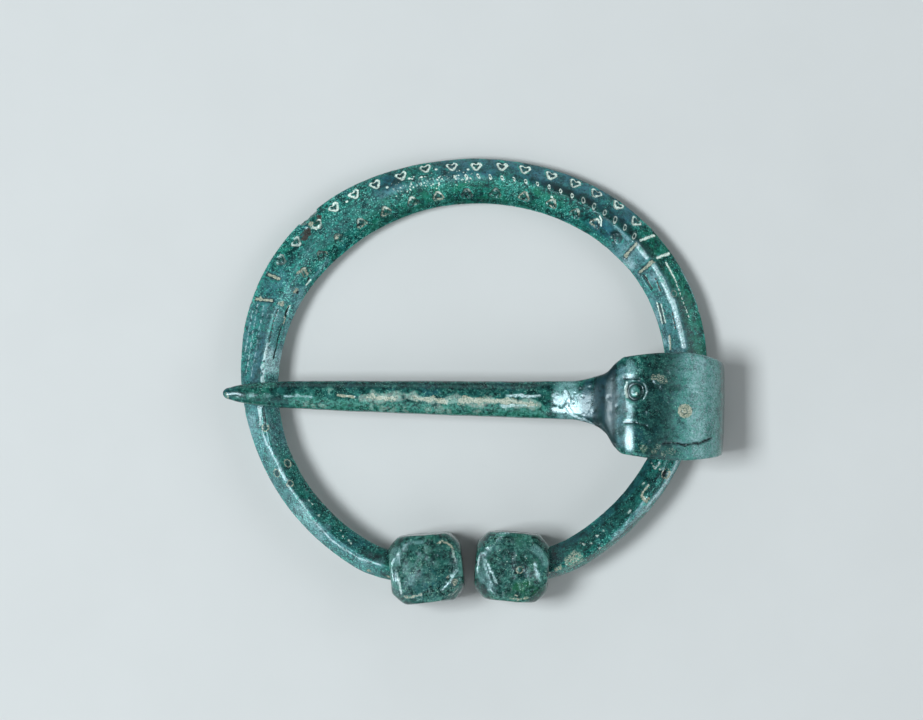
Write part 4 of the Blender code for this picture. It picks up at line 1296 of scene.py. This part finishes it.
class Nodes:
    """A material and its shader nodes."""

    def __init__(self, name):
        self.material = bpy.data.materials.new(name)
        self.material.use_nodes = True
        self.tree = self.material.node_tree
        self.shader = self.tree.nodes["Principled BSDF"].inputs
        self.place = self.add("ShaderNodeTexCoord").outputs["Object"]

    def feed(self, value, socket):
        """Feeds a socket from another one, or sets it to a number or a colour."""
        if isinstance(value, bpy.types.NodeSocket):
            self.tree.links.new(value, socket)
        elif isinstance(value, tuple):
            socket.default_value = (*value, 1.0)
        else:
            socket.default_value = value

    def add(self, kind, inputs=(), **settings):
        """A node with its settings, and its inputs by name or number."""
        node = self.tree.nodes.new(kind)
        for name, value in settings.items():
            setattr(node, name, value)
        for name, value in dict(inputs).items():
            self.feed(value, node.inputs[name])
        return node

    def noise(self, name):
        """One of the named noises."""
        scale, detail, roughness = NOISES[name]
        inputs = {"Vector": self.place, "Scale": scale, "Detail": detail, "Roughness": roughness}
        return self.add("ShaderNodeTexNoise", inputs).outputs["Fac"]

    def mask(self, name):
        """One of the masks that the mesh carries."""
        return self.add("ShaderNodeAttribute", attribute_name=name, attribute_type="GEOMETRY").outputs["Fac"]

    def stretch(self, value, low, high, to_low=0.0, to_high=1.0):
        """A value stretched smoothly from one range to another."""
        inputs = {"Value": value, "From Min": low, "From Max": high, "To Min": to_low, "To Max": to_high}
        return self.add("ShaderNodeMapRange", inputs, interpolation_type="SMOOTHSTEP").outputs["Result"]

    def share(self, value, name):
        """A value stretched by one of the named ranges."""
        return self.stretch(value, *RANGES[name])

    def join(self, operation, first, second):
        """Two values brought together."""
        return self.add("ShaderNodeMath", {0: first, 1: second}, operation=operation).outputs[0]

    def times(self, first, second):
        """The product of two values."""
        return self.join("MULTIPLY", first, second)

    def plus(self, first, second, amount=None):
        """The sum of a value and another one, or an amount of that one."""
        return self.join("ADD", first, second if amount is None else self.times(second, amount))

    def mix(self, share, first, second):
        """A colour between two."""
        return self.add("ShaderNodeMix", {0: share, 6: first, 7: second}, data_type="RGBA").outputs[2]


def make_patina(name):
    """Waxed bronze patina: mottled, with light grains, dark hollows, worn edges and pale fill, dirt and
    painted shade, and painted highlights.
    """
    look = PATINAS[name]
    nodes = Nodes(name)
    mix, plus, times, share = nodes.mix, nodes.plus, nodes.times, nodes.share
    masks = {mask: nodes.mask(mask) for mask in MASKS}
    bright, soil, beige = masks["bright"], masks["soil"], masks["beige"]
    mottle, flecks, grains, wide = (nodes.noise(noise) for noise in ("mottle", "flecks", "grains", "wide"))
    body = mix(share(mottle, "body"), look["deep"], look["middle"])
    for tint in ("blue", "green"):
        area = nodes.join("MAXIMUM", masks[tint], share(nodes.noise(tint), tint))
        body = mix(area, body, mix(share(mottle, "tint"), look["deep"], look[tint]))
    # Painted highlights and shine: where their mask stands, the colour turns by grains towards a shine
    # colour, and where it is strongest towards the colour of the strongest highlights.
    sheen_share = times(bright, share(plus(grains, mottle), "sheen_share"))
    body = mix(sheen_share, body, mix(share(bright, "painted_glint"), look["painted_sheen"], PAINTED_GLINT))
    off_sheen_and_blue = share(nodes.join("MAXIMUM", bright, masks["blue"]), "flecks_off_sheen_and_blue")
    body = mix(times(share(plus(flecks, wide, WIDE_IN_FLECKS), "flecks"), off_sheen_and_blue), body, look["light"])
    body = mix(times(masks["pale"], share(flecks, "worn")), body, look["light"])
    level = nodes.join("SUBTRACT", plus(grains, wide, WIDE_IN_GRAIN), times(masks["blue"], BLUE_OFF_GRAIN))
    grain_from = look["grain_from"]
    grained = nodes.stretch(level, grain_from, grain_from + GRAIN_RISE, 0.0, MOST_GRAIN)
    body = mix(grained, body, look["grain"])
    hollows = times(share(nodes.noise("hollows"), "hollows"), share(bright, "hollows_off_sheen"))
    body = mix(hollows, body, HOLLOW)
    # Dirt, and painted shade where the same mask stands for it, darkens the colour.
    body = mix(soil, body, SOIL_AND_SHADE)
    body = mix(share(plus(masks["rust"], mottle), "rust"), body, mix(mottle, *RUST))
    patches = times(share(plus(beige, grains), "beige"), share(beige, "beige_edge"))
    body = mix(patches, body, mix(share(grains, "beige_tone"), *BEIGE))
    masks["cream"] = share(masks["cream"], "cream")
    body = mix(masks["cream"], body, mix(share(grains, "cream_tone"), *CREAM))
    rough = nodes.stretch(mottle, *RANGES["gloss"], *look["gloss"])
    for mask, amount in ROUGHENED:
        rough = plus(rough, masks[mask], amount)
    bump = {"Height": plus(mottle, grains, GRAINS_IN_RELIEF), "Distance": look["relief"]}
    normal = nodes.add("ShaderNodeBump", {**bump, "Strength": RELIEF_STRENGTH}).outputs["Normal"]
    surface = {"Base Color": body, "Roughness": rough, "Normal": normal, **WAX}
    for socket, value in surface.items():
        nodes.feed(value, nodes.shader[socket])
    return nodes.material


def make_piece(name, skin, node, marks, surface, patina):
    """Works a skin's surface and makes its mesh, which stands for a node and rides on the body of
    the same name. The mesh carries the masks."""
    draw_marks(skin, marks)
    unevenness, pits, rubbed_from = surface
    add_unevenness(skin, *unevenness)
    add_pits(skin, *pits)
    mark_wear(skin, rubbed_from)
    mesh = bpy.data.meshes.new(name)
    mesh.from_pydata(skin.finished().tolist(), [], skin.faces.tolist() + skin.caps)
    for mask, values in skin.masks.items():
        attribute = mesh.attributes.new(mask, "FLOAT", "POINT")
        attribute.data.foreach_set("value", values.astype(np.float32))
    mesh.shade_smooth()
    mesh.materials.append(patina)
    piece = bpy.data.objects.new(name, mesh)
    bpy.context.scene.collection.objects.link(piece)
    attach(piece, node)
    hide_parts(node)


def make_hoop():
    """The hoop: its bar with its ornament, and a terminal at each end."""
    bar = make_bar_skin()
    break_chip(bar)
    decorate_bar(bar)
    make_piece("hoop_bar", bar, "hoop", BAR_MARKS, BAR_SURFACE, make_patina("hoop_patina"))
    patina = make_patina("terminal_patina")
    for name, angle_deg, marks in (
        ("left_terminal", LEFT_TERMINAL_DEG, LEFT_TERMINAL_MARKS),
        ("right_terminal", RIGHT_TERMINAL_DEG, RIGHT_TERMINAL_MARKS),
    ):
        make_piece(name, make_terminal_skin(angle_deg), "hoop", marks, TERMINAL_SURFACE, patina)


def make_floor():
    """A plain pale floor."""
    nodes = Nodes("floor_paint")
    nodes.feed(nodes.mix(nodes.noise("floor"), *FLOOR_PAINT), nodes.shader["Base Color"])
    nodes.feed(FLOOR_ROUGHNESS, nodes.shader["Roughness"])
    mesh = bpy.data.meshes.new("floor")
    corners = [(FLOOR_HALF * x, FLOOR_HALF * y, 0) for x, y in ((-1, -1), (1, -1), (1, 1), (-1, 1))]
    mesh.from_pydata(corners, [], [(0, 1, 2, 3)])
    mesh.materials.append(nodes.material)
    floor = bpy.data.objects.new("floor", mesh)
    floor.location.z = -FLOOR_DROP
    bpy.context.scene.collection.objects.link(floor)
    floor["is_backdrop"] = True


def make_lights():
    """Soft boxes that look at the brooch from all sides, and a weak, even surround."""
    for name, (azimuth_deg, elevation_deg, distance, width, height, power) in LIGHTS.items():
        light = bpy.data.lights.new(name, "AREA")
        light.shape = "RECTANGLE"
        light.size = width
        light.size_y = height
        light.energy = power
        light.color = LIGHT_COLOUR
        made = bpy.data.objects.new(name, light)
        azimuth, elevation = math.radians(azimuth_deg), math.radians(elevation_deg)
        flat = distance * math.cos(elevation)
        made.location = (flat * math.cos(azimuth), flat * math.sin(azimuth), distance * math.sin(elevation))
        made.rotation_euler = (-made.location).to_track_quat("-Z", "Y").to_euler()
        bpy.context.scene.collection.objects.link(made)
    world = bpy.data.worlds.new("surround")
    world.use_nodes = True
    background = world.node_tree.nodes["Background"]
    background.inputs["Color"].default_value = (*SURROUND_COLOUR, 1.0)
    background.inputs["Strength"].default_value = SURROUND_STRENGTH
    bpy.context.scene.world = world
    bpy.context.scene.view_settings.view_transform = "Standard"


def make_camera():
    """A long lens that looks straight down and frames the brooch as the photograph does."""
    camera = bpy.data.cameras.new("camera")
    camera.sensor_width = SENSOR_WIDTH
    camera.lens = SENSOR_WIDTH * CAMERA_DISTANCE / (FRAME_WIDTH / PIXELS_PER_METRE)
    camera.clip_start = CAMERA_CLIP
    made = bpy.data.objects.new("camera", camera)
    made.location = (*pixel_place((FRAME_WIDTH / 2, FRAME_HEIGHT / 2)), CAMERA_DISTANCE + FOCUS_HEIGHT)
    bpy.context.scene.collection.objects.link(made)
    bpy.context.scene.camera = made


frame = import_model()
cad_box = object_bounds()
ORIGIN = np.array(frame["joints"][0]["pos_m"]) - np.array(pin_pivot_frame().translation)
make_camera()
make_lights()
make_floor()
make_hoop()
make_piece("pin_body", make_pin_skin(), "pin", PIN_MARKS, PIN_SURFACE, make_patina("pin_patina"))
[[list(corner) for corner in box] for box in (cad_box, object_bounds())]
